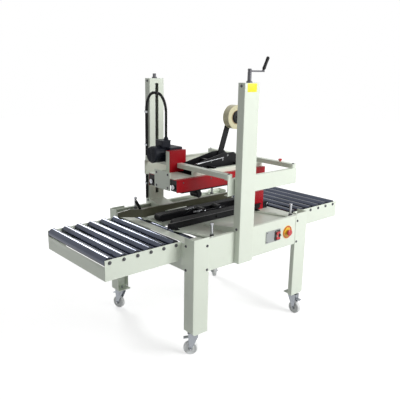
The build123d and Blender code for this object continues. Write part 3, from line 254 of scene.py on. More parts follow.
# what a user would change: colour, worn colour, roughness range and grain of every finish
finishes = {
    "creamPaint": dict(base=(0.72, 0.78, 0.68), worn=(0.50, 0.52, 0.42), rough=(0.34, 0.48), coat=0.15,
                       wear=0.12, dirt=0.10, grainScale=900, bump=0.10),
    # deck's cream: a darker copy of the cream paint, painted shade
    "creamPaintedShade": dict(base=(0.60, 0.64, 0.56), worn=(0.42, 0.43, 0.36), rough=(0.34, 0.48), coat=0.1,
                       wear=0.2, dirt=0.15, grainScale=900, bump=0.10),
    # rollers' chrome: base colour kept dark and bluish, a painted reflection of dark surroundings
    "rollerChromePaintedReflection": dict(base=(0.075, 0.085, 0.115), worn=(0.035, 0.035, 0.04), rough=(0.08, 0.18), metallic=1.0,
                         wear=0.45, dirt=0.35, wearScale=9, stretch=(1, 0.04, 1), grainScale=900, bump=0.08),
    "rollerEnd": dict(base=(0.05, 0.05, 0.055), worn=(0.14, 0.14, 0.13), rough=(0.35, 0.55), wear=0.3,
                      grainScale=900, bump=0.1),
    "blackPaint": dict(base=(0.006, 0.006, 0.008), worn=(0.035, 0.035, 0.035), rough=(0.30, 0.48), specular=0.2,
                       wear=0.22, grainScale=700, bump=0.15),
    "castBlack": dict(base=(0.006, 0.008, 0.015), worn=(0.03, 0.034, 0.045), rough=(0.38, 0.58), specular=0.2, wear=0.25,
                      grainScale=420, bump=0.45),
    # far guide rail: dark olive in place of cream paint in the shade under the head, painted shade
    "olivePaintedShade": dict(base=(0.105, 0.105, 0.065), worn=(0.20, 0.20, 0.14), rough=(0.28, 0.44), coat=0.1,
                       wear=0.3, dirt=0.15, grainScale=800, bump=0.12),
    "redPaint": dict(base=(0.37, 0.003, 0.010), worn=(0.16, 0.004, 0.008), rough=(0.22, 0.36), specular=0.22,
                     wear=0.15, grainScale=800, bump=0.08),
    "beltRubber": dict(base=(0.009, 0.009, 0.010), worn=(0.04, 0.04, 0.04), rough=(0.55, 0.75), specular=0.2, wear=0.4,
                       stretch=(1, 0.1, 1), grainScale=600, bump=0.5, ribScale=1250, ribDepth=0.6),
    "polishedSteel": dict(base=(0.42, 0.43, 0.45), worn=(0.35, 0.35, 0.36), rough=(0.08, 0.22), metallic=1.0,
                          wear=0.3, grainScale=900, bump=0.04),
    "darkSteel": dict(base=(0.10, 0.10, 0.11), worn=(0.24, 0.24, 0.24), rough=(0.25, 0.45), metallic=0.8,
                      wear=0.3, grainScale=900, bump=0.08),
    "blackPlastic": dict(base=(0.006, 0.006, 0.007), worn=(0.03, 0.03, 0.03), rough=(0.36, 0.55), specular=0.2, wear=0.2,
                         grainScale=900, bump=0.15),
    "greyPlastic": dict(base=(0.36, 0.38, 0.38), worn=(0.22, 0.23, 0.23), rough=(0.40, 0.55), wear=0.15,
                        grainScale=900, bump=0.10),
    "redPlastic": dict(base=(0.50, 0.010, 0.014), worn=(0.38, 0.02, 0.02), rough=(0.20, 0.32), coat=0.3,
                       wear=0.1, grainScale=900, bump=0.05),
    "yellowPlastic": dict(base=(0.82, 0.52, 0.03), worn=(0.58, 0.38, 0.04), rough=(0.30, 0.45), wear=0.12,
                          grainScale=900, bump=0.06),
    "yellowPatch": dict(base=(0.84, 0.76, 0.02), worn=(0.62, 0.55, 0.05), rough=(0.36, 0.5), wear=0.12,
                        grainScale=900, bump=0.04),
    "tapeFilm": dict(base=(0.66, 0.63, 0.42), worn=(0.55, 0.50, 0.30), rough=(0.22, 0.36), coat=0.3,
                     wear=0.2, stretch=(1, 0.02, 1), grainScale=600, bump=0.08, centre=tuple(rollCentre),
                     layer=(0.50, 0.46, 0.28)),
    "cardboard": dict(base=(0.40, 0.28, 0.16), worn=(0.28, 0.19, 0.11), rough=(0.7, 0.9), wear=0.3,
                      grainScale=500, bump=0.3),
    "casterSteel": dict(base=(0.36, 0.38, 0.41), worn=(0.09, 0.09, 0.10), rough=(0.20, 0.38), metallic=0.95,
                        wear=0.35, grainScale=700, bump=0.12),
    "casterWheel": dict(base=(0.84, 0.86, 0.86), worn=(0.36, 0.36, 0.34), rough=(0.35, 0.50), wear=0.3,
                        dirt=0.25, grainScale=700, bump=0.10),
}
materials = {name: makeMaterial(name, facts) for name, facts in finishes.items()}

# CAD node to finish
dressing = {
    "creamPaint": ["legs", "side_panels", "end_panels", "near_column", "far_column", "column_bases",
                   "table_side_plates", "table_end_plates", "cross_bars", "head_side_bars",
                   "head_cross_members", "head_rails"],
    # deck plate: darker copy of the cream paint, painted shade
    "creamPaintedShade": ["deck_plate"],
    # table rollers: chrome with a painted dark reflection
    "rollerChromePaintedReflection": [n for n in nodes if "_roller_" in n],
    "blackPaint": ["lower_belt_frames", "lower_tape_head", "tape_head_frame", "roller_arm", "roll_arm",
                   "carriages", "near_guide_rail", "upper_pulleys"],
    "castBlack": ["gearbox", "drive_motor"],
    # far guide rail: dark olive, painted shade
    "olivePaintedShade": ["far_guide_rail"],
    "redPaint": ["belt_guards", "chain_cover", "end_guard"],
    "beltRubber": ["lower_belts", "upper_belts"],
    "polishedSteel": ["guide_posts"],
    "darkSteel": ["near_screw", "far_screw"],
    "blackPlastic": ["guide_lever", "crank_grip", "conduit"],
    "greyPlastic": ["control_plate"],
    "redPlastic": ["rocker_switch", "stop_button"],
    "yellowPlastic": ["stop_button_base"],
    "tapeFilm": ["tape_roll"],
    "casterSteel": [n for n in nodes if n.endswith("_fork")],
    "casterWheel": [n for n in nodes if n.endswith("_wheel")],
}
for finish, names in dressing.items():
    for name in names:
        mesh = nodes[name].data
        mesh.materials.clear()
        mesh.materials.append(materials[finish])
print("finishes done")


# quads of a grid that closes on itself across its columns, for one or more copies of it
def gridFaces(rows, columns, copies=1):
    i, j = np.meshgrid(np.arange(rows - 1), np.arange(columns), indexing="ij")
    a = i * columns + j
    b = i * columns + (j + 1) % columns
    quads = np.stack((a, b, b + columns, a + columns), -1).reshape(-1, 4)
    return (quads[None] + (np.arange(copies) * rows * columns)[:, None, None]).reshape(-1, 4)


def unit(vector):
    vector = np.array(vector, float)
    return vector / np.linalg.norm(vector, axis=-1, keepdims=True)


# Surface of revolution: place + height * direction + radius * (cos(turn) * across + sin(turn) * up)
def turned(profile, places, direction, segments=24):
    radius, height = np.array(profile, float).T
    along = unit(direction)
    across = unit(np.cross(along, (0, 1, 0) if abs(along[2]) > 0.9 else (0, 0, 1)))
    up = np.cross(along, across)
    turn = np.linspace(0, 2 * np.pi, segments, endpoint=False)[:, None]
    ring = np.cos(turn) * across + np.sin(turn) * up
    one = height[:, None, None] * along + radius[:, None, None] * ring
    places = np.atleast_2d(np.array(places, float))
    points = places[:, None, None] + one[None]
    return points.reshape(-1, 3), gridFaces(len(radius), segments, len(places))


# Section carried along a path: path + scale * (x * side + y * (side x tangent)), closed at both ends
def swept(path, section, side, scale=1.0):
    path = np.array(path, float)
    tangent = unit(np.gradient(path, axis=0))
    side = np.array(side, float)
    up = unit(np.cross(side, tangent))
    section = np.array(section, float)
    size = (np.ones(len(path)) * scale)[:, None, None]
    body = path[:, None] + size * (section[None, :, :1] * side + section[None, :, 1:] * up[:, None])
    first = np.repeat(path[:1, None], len(section), axis=1)
    last = np.repeat(path[-1:, None], len(section), axis=1)
    points = np.concatenate((first, body, last))
    return points.reshape(-1, 3), gridFaces(len(points), len(section))


# Outline of a rectangle with round corners: a corner's centre plus its radius at angles of one quarter turn
def roundedOutline(width, height, corner, steps=6):
    quarter, step = np.meshgrid(np.arange(4), np.linspace(0, 1, steps), indexing="ij")
    angle = (quarter + step) * np.pi / 2
    signX = np.where((quarter == 0) | (quarter == 3), 1, -1)
    signY = np.where(quarter < 2, 1, -1)
    x = signX * (width / 2 - corner) + corner * np.cos(angle)
    y = signY * (height / 2 - corner) + corner * np.sin(angle)
    return np.stack((x, y), -1).reshape(-1, 2)


# Plate with soft upper edges: rings of the outline, each drawn in and raised, then closed at the middle
def plate(centre, across, up, size, thickness, corner, edge=0.0006):
    across, up = unit(across), unit(up)
    out = np.cross(across, up)
    rings = ((0, 0), (0, thickness - edge), (0.3 * edge, thickness - 0.3 * edge), (edge, thickness))
    rows = []
    for inset, height in rings:
        outline = roundedOutline(size[0] - 2 * inset, size[1] - 2 * inset, max(corner - inset, 1e-4))
        rows.append(outline[:, :1] * across + outline[:, 1:] * up + height * out)
    middle = np.zeros_like(rows[0])
    rows = [middle] + rows + [middle + thickness * out]
    points = np.array(centre, float) + np.stack(rows)
    return points.reshape(-1, 3), gridFaces(len(rows), points.shape[1])


# Screw thread: radius + depth * sin(2 pi * height / pitch - turn), closed at both ends
def threaded(place, length, radius, depth, pitch, segments=16):
    rows = int(length / pitch * 6)
    height, turn = np.meshgrid(
        np.linspace(0, length, rows), np.linspace(0, 2 * np.pi, segments, endpoint=False), indexing="ij"
    )
    r = radius + depth * np.sin(2 * np.pi * height / pitch - turn)
    r[[0, -1]] = 0
    points = np.stack((r * np.cos(turn), r * np.sin(turn), height), -1) + np.array(place, float)
    return points.reshape(-1, 3), gridFaces(rows, segments)


# Straight runs joined by arcs: each corner is a circle's arc that touches both runs
def arcPath(corners, radius, spacing=0.003):
    corners = np.array(corners, float)
    legs = unit(np.diff(corners, axis=0))
    pieces = [corners[:1]]
    for k in range(1, len(corners) - 1):
        before, after = legs[k - 1], legs[k]
        bend = math.acos(float(np.clip(before @ after, -1, 1)))
        reach = radius * math.tan(bend / 2)
        inward = unit(after - before)
        centre = corners[k] + inward * radius / math.cos(bend / 2)
        start = corners[k] - before * reach - centre
        angle = np.linspace(0, bend, max(4, int(radius * bend / spacing)))[:, None]
        pieces.append(centre + np.cos(angle) * start + np.sin(angle) * radius * before)
    pieces.append(corners[-1:])
    rough = np.concatenate(pieces)
    far = np.concatenate(([0], np.cumsum(np.linalg.norm(np.diff(rough, axis=0), axis=1))))
    even = np.linspace(0, far[-1], int(far[-1] / spacing))
    return np.stack([np.interp(even, far, rough[:, axis]) for axis in range(3)], -1)


def circleSection(radius, segments=16):
    turn = np.linspace(0, 2 * np.pi, segments, endpoint=False)
    return np.stack((radius * np.cos(turn), radius * np.sin(turn)), -1)


def makePiece(name, parts, finish, body=None, crease=35):
    points = np.concatenate([p for p, f in parts])
    starts = np.cumsum([0] + [len(p) for p, f in parts[:-1]])
    faces = np.concatenate([f + s for (p, f), s in zip(parts, starts)])
    mesh = bpy.data.meshes.new(name)
    mesh.from_pydata(points.tolist(), [], faces.tolist())
    work = bmesh.new()
    work.from_mesh(mesh)
    bmesh.ops.remove_doubles(work, verts=work.verts, dist=1e-6)
    bmesh.ops.dissolve_degenerate(work, edges=work.edges, dist=1e-7)
    bmesh.ops.recalc_face_normals(work, faces=work.faces)
    work.to_mesh(mesh)
    work.free()
    mesh.polygons.foreach_set("use_smooth", np.ones(len(mesh.polygons), bool))
    mesh.set_sharp_from_angle(angle=math.radians(crease))
    mesh.materials.append(materials[finish])
    thing = bpy.data.objects.new(name, mesh)
    bpy.context.collection.objects.link(thing)
    if body:
        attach(thing, body)
    return thing


# Hexagon head on a washer, standing on the surface at each place
def hexBolts(places, direction, radius=0.006, height=0.0045):
    washer = ((0, 0), (1.35 * radius, 0), (1.35 * radius, 0.0008), (0, 0.0008))
    head = ((0, 0.0008), (radius, 0.0008), (radius, height * 0.85), (radius * 0.82, height), (0, height))
    return [turned(washer, places, direction, 16), turned(head, places, direction, 6)]


# Button head with a socket: a low dome with a round hollow in it
def buttonScrews(places, direction, radius=0.005, height=0.003):
    dome = (
        (0, 0),
        (radius, 0),
        (0.95 * radius, 0.45 * height),
        (0.75 * radius, 0.85 * height),
        (0.45 * radius, height),
        (0.42 * radius, 0.35 * height),
        (0, 0.35 * height),
    )
    return [turned(dome, places, direction, 18)]


def both(places):
    # the places and their mirror images across the machine's length
    return [tuple(p) for p in places] + [(p[0], -p[1], p[2]) for p in places]


sides = ((0, -1, 0), (0, 1, 0))

# bolts of the legs and columns
bodyBolts = dict(legX=0.357, legZ=(0.605, 0.477), webY=0.325, columnZ=(0.654, 1.389), radius=0.0055)
legLow, legHigh = box["legs"]
columnLow, columnHigh = box["near_column"]
parts = []
for direction in sides:
    places = [(x, direction[1] * legHigh.y, z) for x in (-bodyBolts["legX"], bodyBolts["legX"])
              for z in bodyBolts["legZ"]]
    parts += hexBolts(places, direction, bodyBolts["radius"])
for side in (-1, 1):
    places = both([(side * legHigh.x, bodyBolts["webY"], z) for z in bodyBolts["legZ"]])
    parts += hexBolts(places, (side, 0, 0), bodyBolts["radius"])
middleY = (columnLow.y + columnHigh.y) / 2
for x, side in ((columnLow.x, -1), (columnHigh.x, 1)):
    places = both([(x, middleY, z) for z in bodyBolts["columnZ"]])
    parts += hexBolts(places, (side, 0, 0), bodyBolts["radius"])
makePiece("bodyBolts", parts, "darkSteel", "frame")

# folded ends that fasten the roller tables to the end panels
tableFold = dict(x=0.4445, low=0.500, high=0.618, inner=0.2868, outer=0.3158, thickness=0.0014)
foldSize = (tableFold["outer"] - tableFold["inner"], tableFold["high"] - tableFold["low"])
parts = []
for side in (-1, 1):
    for y in (-1, 1):
        middle = (side * tableFold["x"], y * (tableFold["inner"] + tableFold["outer"]) / 2,
                  (tableFold["low"] + tableFold["high"]) / 2)
        parts.append(plate(middle, (0, side, 0), (0, 0, 1), foldSize, tableFold["thickness"], 0.001, 0.0003))
makePiece("tableFolds", parts, "creamPaint", "frame")

# upper edges of the tables' end plates, up to just below the last rollers
endLip = dict(top=0.590, thickness=0.0015)
endLow, endHigh = box["table_end_plates"]
lipHeight = endLip["top"] - endHigh.z
lipMiddle = (endHigh.z + endLip["top"]) / 2
lipWidth = 2 * (endHigh.y - 0.0002)
parts = [plate((side * (endHigh.x - endLip["thickness"]), 0, lipMiddle), (0, side, 0), (0, 0, 1),
               (lipWidth, lipHeight), endLip["thickness"], 0.001, 0.0003) for side in (-1, 1)]
makePiece("tableEndLips", parts, "creamPaint", "frame")

# plain yellow patch at the near column's top
patch = dict(width=0.067, height=0.042, corner=0.003, centreX=-0.1085, drop=0.023)
makePiece(
    "yellowPatch",
    [plate((patch["centreX"], columnLow.y + 0.0004, columnHigh.z - patch["drop"]), (1, 0, 0), (0, 0, 1),
           (patch["width"], patch["height"]), 0.0005, patch["corner"], 0.0002)],
    "yellowPatch",
    "frame",
)

# thread of the two lift screws inside the columns
screwThread = dict(radius=0.0103, depth=0.0006, pitch=0.004, low=0.705, high=1.396)
screwX = (columnLow.x + columnHigh.x) / 2
for name, y, body in (("nearThread", middleY, "crank"), ("farThread", -middleY, "idle_screw")):
    makePiece(
        name,
        [threaded((screwX, y, screwThread["low"]), screwThread["high"] - screwThread["low"],
                  screwThread["radius"], screwThread["depth"], screwThread["pitch"])],
        "darkSteel",
        body,
        crease=60,
    )

# crank: nut on the screw's end
crank = dict(nutRadius=0.010, nutHeight=0.008)
armTop = box["near_screw"][1].z
makePiece("crankNut", hexBolts([(screwX, middleY, armTop)], (0, 0, 1), crank["nutRadius"], crank["nutHeight"]),
          "darkSteel", "crank")

# end bearings of the table rollers, each turning with its roller
bearing = dict(inner=0.0052, outer=0.0175, step=0.0010)
for name in [n for n in nodes if "_roller_" in n]:
    low, high = box[name]
    x, z = (low.x + high.x) / 2, (low.z + high.z) / 2
    capY = 0.27825
    parts = []
    for direction in sides:
        profile = (
            (bearing["inner"], 0),
            (bearing["outer"], 0),
            (bearing["outer"], bearing["step"]),
            (bearing["outer"] * 0.7, bearing["step"] * 1.6),
            (bearing["outer"] * 0.62, bearing["step"] * 0.4),
            (bearing["inner"] * 1.5, bearing["step"] * 0.4),
            (bearing["inner"] * 1.5, bearing["step"] * 2.4),
            (bearing["inner"], bearing["step"] * 2.4),
            (bearing["inner"], 0),
        )
        parts.append(turned(profile, [(x, direction[1] * (capY - 0.0005), z)], direction, 28))
        heads = ((0, 0), (0.0088, 0), (0.0088, 0.0030), (0.0070, 0.0045), (0.0035, 0.0052), (0, 0.0053))
        parts.append(turned(heads, [(x, direction[1] * (high.y - 0.0040), z)], direction, 24))
    makePiece(name + "Ends", parts, "rollerEnd", name)

# roller lying in the deck's infeed slot, on its two lugs
bedRoller = dict(x=-0.357, radius=0.018, half=0.2835, shaft=0.006)
deckTop = box["deck_plate"][1].z
r, h = bedRoller["radius"], bedRoller["half"]
bedProfile = ((0, -h), (bedRoller["shaft"], -h), (bedRoller["shaft"], -h + 0.012), (r - 0.004, -h + 0.012),
              (r, -h + 0.016), (r, h - 0.016), (r - 0.004, h - 0.012), (bedRoller["shaft"], h - 0.012),
              (bedRoller["shaft"], h), (0, h))
# chrome with a painted dark reflection
makePiece("bedRoller", [turned(bedProfile, [(bedRoller["x"], 0, deckTop - r)], (0, 1, 0), 40)],
          "rollerChromePaintedReflection", "frame")
print("body pieces done")

# ribbed hose from the far column over to the terminal box
hose = dict(radius=0.0076, ridge=0.0007, pitch=0.0045, bend=0.110, exitX=-0.212, exitY=0.142)
hoseLow, hoseHigh = box["conduit"]
hoseX = columnLow.x - 0.0083
hoseTop = hoseHigh.z - 0.008
boxTop = 1.0695
path = arcPath(
    [(hoseX, -middleY, hoseLow.z), (hoseX, -middleY, hoseTop), (hose["exitX"], hose["exitY"], hoseTop),
     (hose["exitX"], hose["exitY"], boxTop)],
    hose["bend"],
    0.0011,
)
across = unit(np.cross((hose["exitX"] - hoseX, hose["exitY"] + middleY, 0), (0, 0, 1)))
ridges = 1 + hose["ridge"] / hose["radius"] * np.sin(np.arange(len(path)) * 0.0011 * 2 * np.pi / hose["pitch"])
hoseThing = makePiece("hose", [swept(path, circleSection(hose["radius"], 14), across, ridges)], "blackPlastic")
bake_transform(hoseThing)
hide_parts("conduit")
clip = dict(width=0.012, thickness=0.0012, heights=(0.76, 1.00, 1.20))
clipProfile = ((0.0085, 0), (0.0105, 0), (0.0105, clip["width"]), (0.0085, clip["width"]), (0.0085, 0))
parts = [turned(clipProfile, [(hoseX, -middleY, z) for z in clip["heights"]], (0, 0, 1), 28)]
parts += [plate((hoseX - 0.0, -middleY + 0.014, z + clip["width"] / 2), (0, 1, 0), (0, 0, 1),
                (0.016, clip["width"]), clip["thickness"], 0.002, 0.0003) for z in clip["heights"]]
makePiece("hoseClips", parts, "polishedSteel", "frame")

# motor: ribbed cowl face, lid of the terminal box with its screws, gland nut
motor = dict(x=-0.312, y=0.150, z=0.990, radius=0.040)
rings = [(0, 0)]
for radius in np.linspace(0.008, motor["radius"] - 0.004, 6):
    rings += [(radius - 0.0018, 0), (radius - 0.0012, 0.0018), (radius + 0.0012, 0.0018), (radius + 0.0018, 0)]
rings += [(motor["radius"], 0), (motor["radius"], -0.001), (0, -0.001)]
motorLow, motorHigh = box["drive_motor"]
lid = dict(x=(-0.256, -0.196), y=(0.118, 0.184), top=1.068, rise=0.0028)
lidCentre = (sum(lid["x"]) / 2, sum(lid["y"]) / 2, lid["top"] - 0.006)
parts = [turned(rings, [(motor["x"] + 0.0016, motor["y"], motor["z"])], (-1, 0, 0), 40)]
parts.append(plate(lidCentre, (1, 0, 0), (0, 1, 0), (0.064, 0.070), 0.005, 0.006, 0.001))
gland = ((0.0085, 0), (0.0135, 0), (0.0135, 0.008), (0.0115, 0.0105), (0.0115, 0.013), (0.0092, 0.0165),
         (0.0085, 0.0165), (0.0085, 0))
parts.append(turned(gland, [(hose["exitX"], hose["exitY"], lid["top"] - 0.001)], (0, 0, 1), 8))
makePiece("motorCowlAndLid", parts, "castBlack", "head")
places = [(x, y, lid["top"] - 0.001) for x in (lid["x"][0] + 0.005, lid["x"][1] - 0.005)
          for y in (lid["y"][0] + 0.005, lid["y"][1] - 0.005)]
parts = buttonScrews(places, (0, 0, 1), 0.0028, 0.0020)
gearLow, gearHigh = box["gearbox"]
places = [(x, gearHigh.y, z) for x in (gearLow.x + 0.012, gearHigh.x - 0.012)
          for z in (gearLow.z + 0.012, gearHigh.z - 0.012)]
parts += buttonScrews(places, (0, 1, 0), 0.004, 0.003)
coverLow, coverHigh = box["chain_cover"]
makePiece("driveScrews", parts, "polishedSteel", "head")
flange = ((0, 0), (0.030, 0), (0.030, 0.002), (0.024, 0.004), (0.012, 0.004), (0.012, 0.009), (0.008, 0.010),
          (0, 0.010))
gearMiddle = ((gearLow.x + gearHigh.x) / 2, gearHigh.y - 0.0002, (gearLow.z + gearHigh.z) / 2)
makePiece("gearboxFlange", [turned(flange, [gearMiddle], (0, 1, 0), 36)], "castBlack", "head")
coverMiddle = (coverLow.x, (coverLow.y + coverHigh.y) / 2, (coverLow.z + coverHigh.z) / 2)
coverSize = (coverHigh.y - coverLow.y - 0.001, coverHigh.z - coverLow.z - 0.002)
makePiece("motorPlateFlange", [plate(coverMiddle, (0, -1, 0), (0, 0, 1), coverSize, 0.0012, 0.001, 0.0003)],
          "creamPaint", "head")
print("drive done")

# head: bolts on the guards, cross members and side bars
guardLow, guardHigh = box["belt_guards"]
guard = dict(boltX=(-0.30, -0.10, 0.10, 0.26), boltDrop=0.018)
barLow, barHigh = box["head_side_bars"]
crossLow, crossHigh = box["head_cross_members"]
parts = []
for direction in sides:
    places = [(x, direction[1] * guardHigh.y, guardHigh.z - guard["boltDrop"]) for x in guard["boltX"]]
    parts += buttonScrews(places, direction, 0.0045, 0.003)
places = both([(x, 0.352, crossHigh.z) for x in (barLow.x + 0.0175, barHigh.x - 0.0175)])
parts += hexBolts(places, (0, 0, 1), 0.0055, 0.0045)
places = both([(crossLow.x + 0.0003, 0.050, z) for z in (0.840, 0.912)])
parts += hexBolts(places, (-1, 0, 0), 0.005, 0.0035)
makePiece("headBolts", parts, "darkSteel", "head")

# take-up bolts at the belt units' infeed ends: a bright ring, a dark socket and a hexagon screw
takeUp = dict(y=0.098, z=0.852, radius=0.013)
places = both([(guardLow.x - 0.0058, takeUp["y"], takeUp["z"])])
ringProfile = ((0.006, 0), (takeUp["radius"], 0), (takeUp["radius"], 0.0012), (0.009, 0.0022), (0.006, 0.0016),
               (0.006, 0))
makePiece("takeUpRings", [turned(ringProfile, places, (-1, 0, 0), 28)]
          + hexBolts(places, (-1, 0, 0), 0.0050, 0.0035), "polishedSteel", "head")

# ribbed grip of the far guide's lever
grip = dict(foot=(-0.346, 0.189, 0.645), lean=30, start=0.034, length=0.064, radius=0.0082, ribs=9)
lean = math.radians(grip["lean"])
gripAxis = np.array((-math.sin(lean), 0, math.cos(lean)))
share = np.linspace(0, 1, 73)
gripRadius = grip["radius"] * (0.86 + 0.14 * np.sqrt(np.sin(np.pi * share))) + 0.0004 * np.sin(2 * np.pi * grip["ribs"] * share)
gripRadius[[0, -1]] = 0
gripFoot = np.array(grip["foot"]) + grip["start"] * gripAxis
makePiece("leverGrip", [turned(np.stack((gripRadius, share * grip["length"]), -1), [gripFoot], gripAxis, 24)],
          "blackPlastic", "far_guide")

# small knob on the outfeed crossbar
knob = dict(x=0.3275, y=-0.255, radius=0.011, height=0.016)
r, h = knob["radius"], knob["height"]
knobProfile = ((0, 0), (0.55 * r, 0), (0.55 * r, 0.3 * h), (r, 0.42 * h), (r, 0.82 * h), (0.8 * r, h), (0, h))
makePiece("barKnob", [turned(knobProfile, [(knob["x"], knob["y"], crossHigh.z)], (0, 0, 1), 24)],
          "redPlastic", "head")
print("head done")

# tape roll: cardboard core ring and the hub that holds it
roll = dict(radius=0.071, width=0.048, core=0.038)
centre = np.array(rollCentre)
coreRing = ((0.0385, -0.0246), (0.0418, -0.0246), (0.0418, 0.0246), (0.0385, 0.0246), (0.0385, -0.0246))
makePiece("rollCore", [turned(coreRing, [centre], (0, 1, 0), 64)], "cardboard", "tape_supply")
hubDisc = ((0, 0), (0.030, 0), (0.030, 0.0016), (0.022, 0.0032), (0.010, 0.0036), (0.010, 0.0085),
           (0.007, 0.0105), (0, 0.0105))
makePiece("rollHub", [turned(hubDisc, [centre + (0, -0.0268, 0)], (0, -1, 0), 40)], "blackPlastic", "head")

# upper tape head: bright rod along its near side, plate bolts and return spring
frameLow, frameHigh = box["tape_head_frame"]
rod = dict(start=(-0.141, -0.0525, 0.948), end=(0.060, -0.0525, 0.966), radius=0.0036)
plateY = 0.045
rodPath = np.array(rod["start"]) + np.linspace(0, 1, 24)[:, None] * (np.array(rod["end"]) - rod["start"])
parts = [swept(rodPath, circleSection(rod["radius"], 16), (0, 1, 0))]
parts += [turned(((0, 0), (0.004, 0), (0.004, 0.010), (0, 0.010)), [rod["start"], rod["end"]], (0, 1, 0), 16)]
for direction in sides:
    places = [(x, direction[1] * plateY, z) for x, z in
              ((-0.145, 0.925), (-0.09, 0.815), (0.03, 0.815), (0.18, 0.815), (0.185, 0.93), (0.10, 0.975),
               (-0.138, 0.862), (0.06, 0.953), (-0.03, 0.953))]
    parts += hexBolts(places, direction, 0.0048, 0.004)
makePiece("tapeHeadBolts", parts, "polishedSteel", "head")
spring = dict(radius=0.006, wire=0.0011, turns=16, start=(-0.105, -0.0535, 0.925), end=(-0.01, -0.0535, 0.880))
steps = spring["turns"] * 16
share = np.linspace(0, 1, steps)[:, None]
axis = unit(np.array(spring["end"]) - spring["start"])
up = np.cross(axis, (0, 1, 0))
angle = share * spring["turns"] * 2 * np.pi
coil = (np.array(spring["start"]) * (1 - share) + np.array(spring["end"]) * share
        + spring["radius"] * (np.cos(angle) * up + np.sin(angle) * np.array((0, 1, 0))))
hooks = [(p[0], -plateY, p[2]) for p in (spring["start"], spring["end"])]
peg = ((0, 0), (0.003, 0), (0.003, 0.012), (0.0045, 0.0125), (0.0045, 0.0145), (0, 0.0145))
makePiece("returnSpring", [swept(coil, circleSection(spring["wire"], 6), axis),
                           turned(peg, hooks, (0, -1, 0), 14)], "polishedSteel", "head", crease=80)

# lower units: side bolts, pulley shafts and the posts' clamp nuts
lowerLow, lowerHigh = box["lower_belt_frames"]
lower = dict(z=0.644, shaftX=(-0.311, 0.401), boltX=(-0.20, -0.02, 0.16, 0.30))
parts = []
for direction in sides:
    places = [(x, direction[1] * lowerHigh.y, lower["z"] + 0.001) for x in lower["shaftX"]]
    parts += hexBolts(places, direction, 0.007, 0.0045)
headLow, headHigh = box["lower_tape_head"]
for direction in sides:
    places = [(x, direction[1] * 0.036, 0.660) for x in (-0.062, 0.062)]
    parts += hexBolts(places, direction, 0.0055, 0.004)
makePiece("lowerBolts", parts, "polishedSteel", "frame")
parts = []
for y in (-0.0375, 0.0375):
    low = np.array((-0.150, y, 0.668))
    high = np.array((-0.085, y, 0.668))
    turns = 14
    share = np.linspace(0, 1, turns * 14)[:, None]
    angle = share * turns * 2 * np.pi
    coil = low * (1 - share) + high * share + 0.004 * (np.cos(angle) * np.array((0, 1, 0))
                                                       + np.sin(angle) * np.array((0, 0, 1)))
    parts.append(swept(coil, circleSection(0.0008, 6), (1, 0, 0)))
makePiece("lowerSprings", parts, "polishedSteel", "frame", crease=80)
postCap = dict(radius=0.0095, height=0.010)
posts = both([(x, 0.345, 0.632) for x in (-0.290, 0.340)])
washer = ((0.0072, 0), (0.014, 0), (0.014, 0.0016), (0.0115, 0.0016), (0.0115, 0.012), (0.0072, 0.0125),
          (0.0072, 0))
makePiece("postNuts", [turned(washer, [(p[0], p[1], p[2] - 0.0018) for p in posts], (0, 0, 1), 6)],
          "darkSteel", "frame")
collar = ((0.0071, 0), (0.0092, 0.0006), (0.0092, 0.0100), (0.0084, 0.0112), (0.0071, 0.0112), (0.0071, 0))
makePiece("postCollars", [turned(collar, [(p[0], p[1], 0.6915) for p in posts], (0, 0, 1), 28)],
          "polishedSteel", "frame")
print("belt and tape pieces done")

# controls: frame round the rocker, black cap, plate screws and the stop button's ring
plateLow, plateHigh = box["control_plate"]
rockLow, rockHigh = box["rocker_switch"]
face = plateLow.y + 0.015
control = dict(frame=0.0022, screwInset=0.007)
capCentre = (0.1845, rockLow.y + 0.0022, (rockLow.z + rockHigh.z) / 2)
makePiece("rockerCap", [plate(capCentre, (1, 0, 0), (0, 0, 1), (0.0135, 0.034), 0.0012, 0.002, 0.0004)],
          "blackPlastic", "rocker")
outer = roundedOutline(0.044, 0.058, 0.004)
inner = roundedOutline(0.0395, 0.050, 0.002)
yFace = -0.3885
rows = [(outer, 0), (outer, 0.0028), (inner, 0.0028), (inner, 0), (outer, 0)]
points = np.stack([np.stack((o[:, 0] + 0.178, np.full(len(o), yFace - h), o[:, 1] + 0.554), -1) for o, h in rows])
makePiece("rockerFrame", [(points.reshape(-1, 3), gridFaces(5, points.shape[1]))], "blackPlastic", "frame")
places = [(x, yFace, z) for x in (0.086 + 0.007, 0.206 - 0.007) for z in (0.520 + 0.007, 0.588 - 0.007)]
makePiece("plateScrews", buttonScrews(places, (0, -1, 0), 0.003, 0.002), "darkSteel", "frame")
stopRing = ((0.030, 0), (0.036, 0), (0.036, 0.0012), (0.033, 0.0020), (0.030, 0.0012), (0.030, 0))
makePiece("stopRing", [turned(stopRing, [(0.271, box["stop_button_base"][0].y + 0.0060, 0.553)], (0, -1, 0), 40)],
          "redPlastic", "frame")

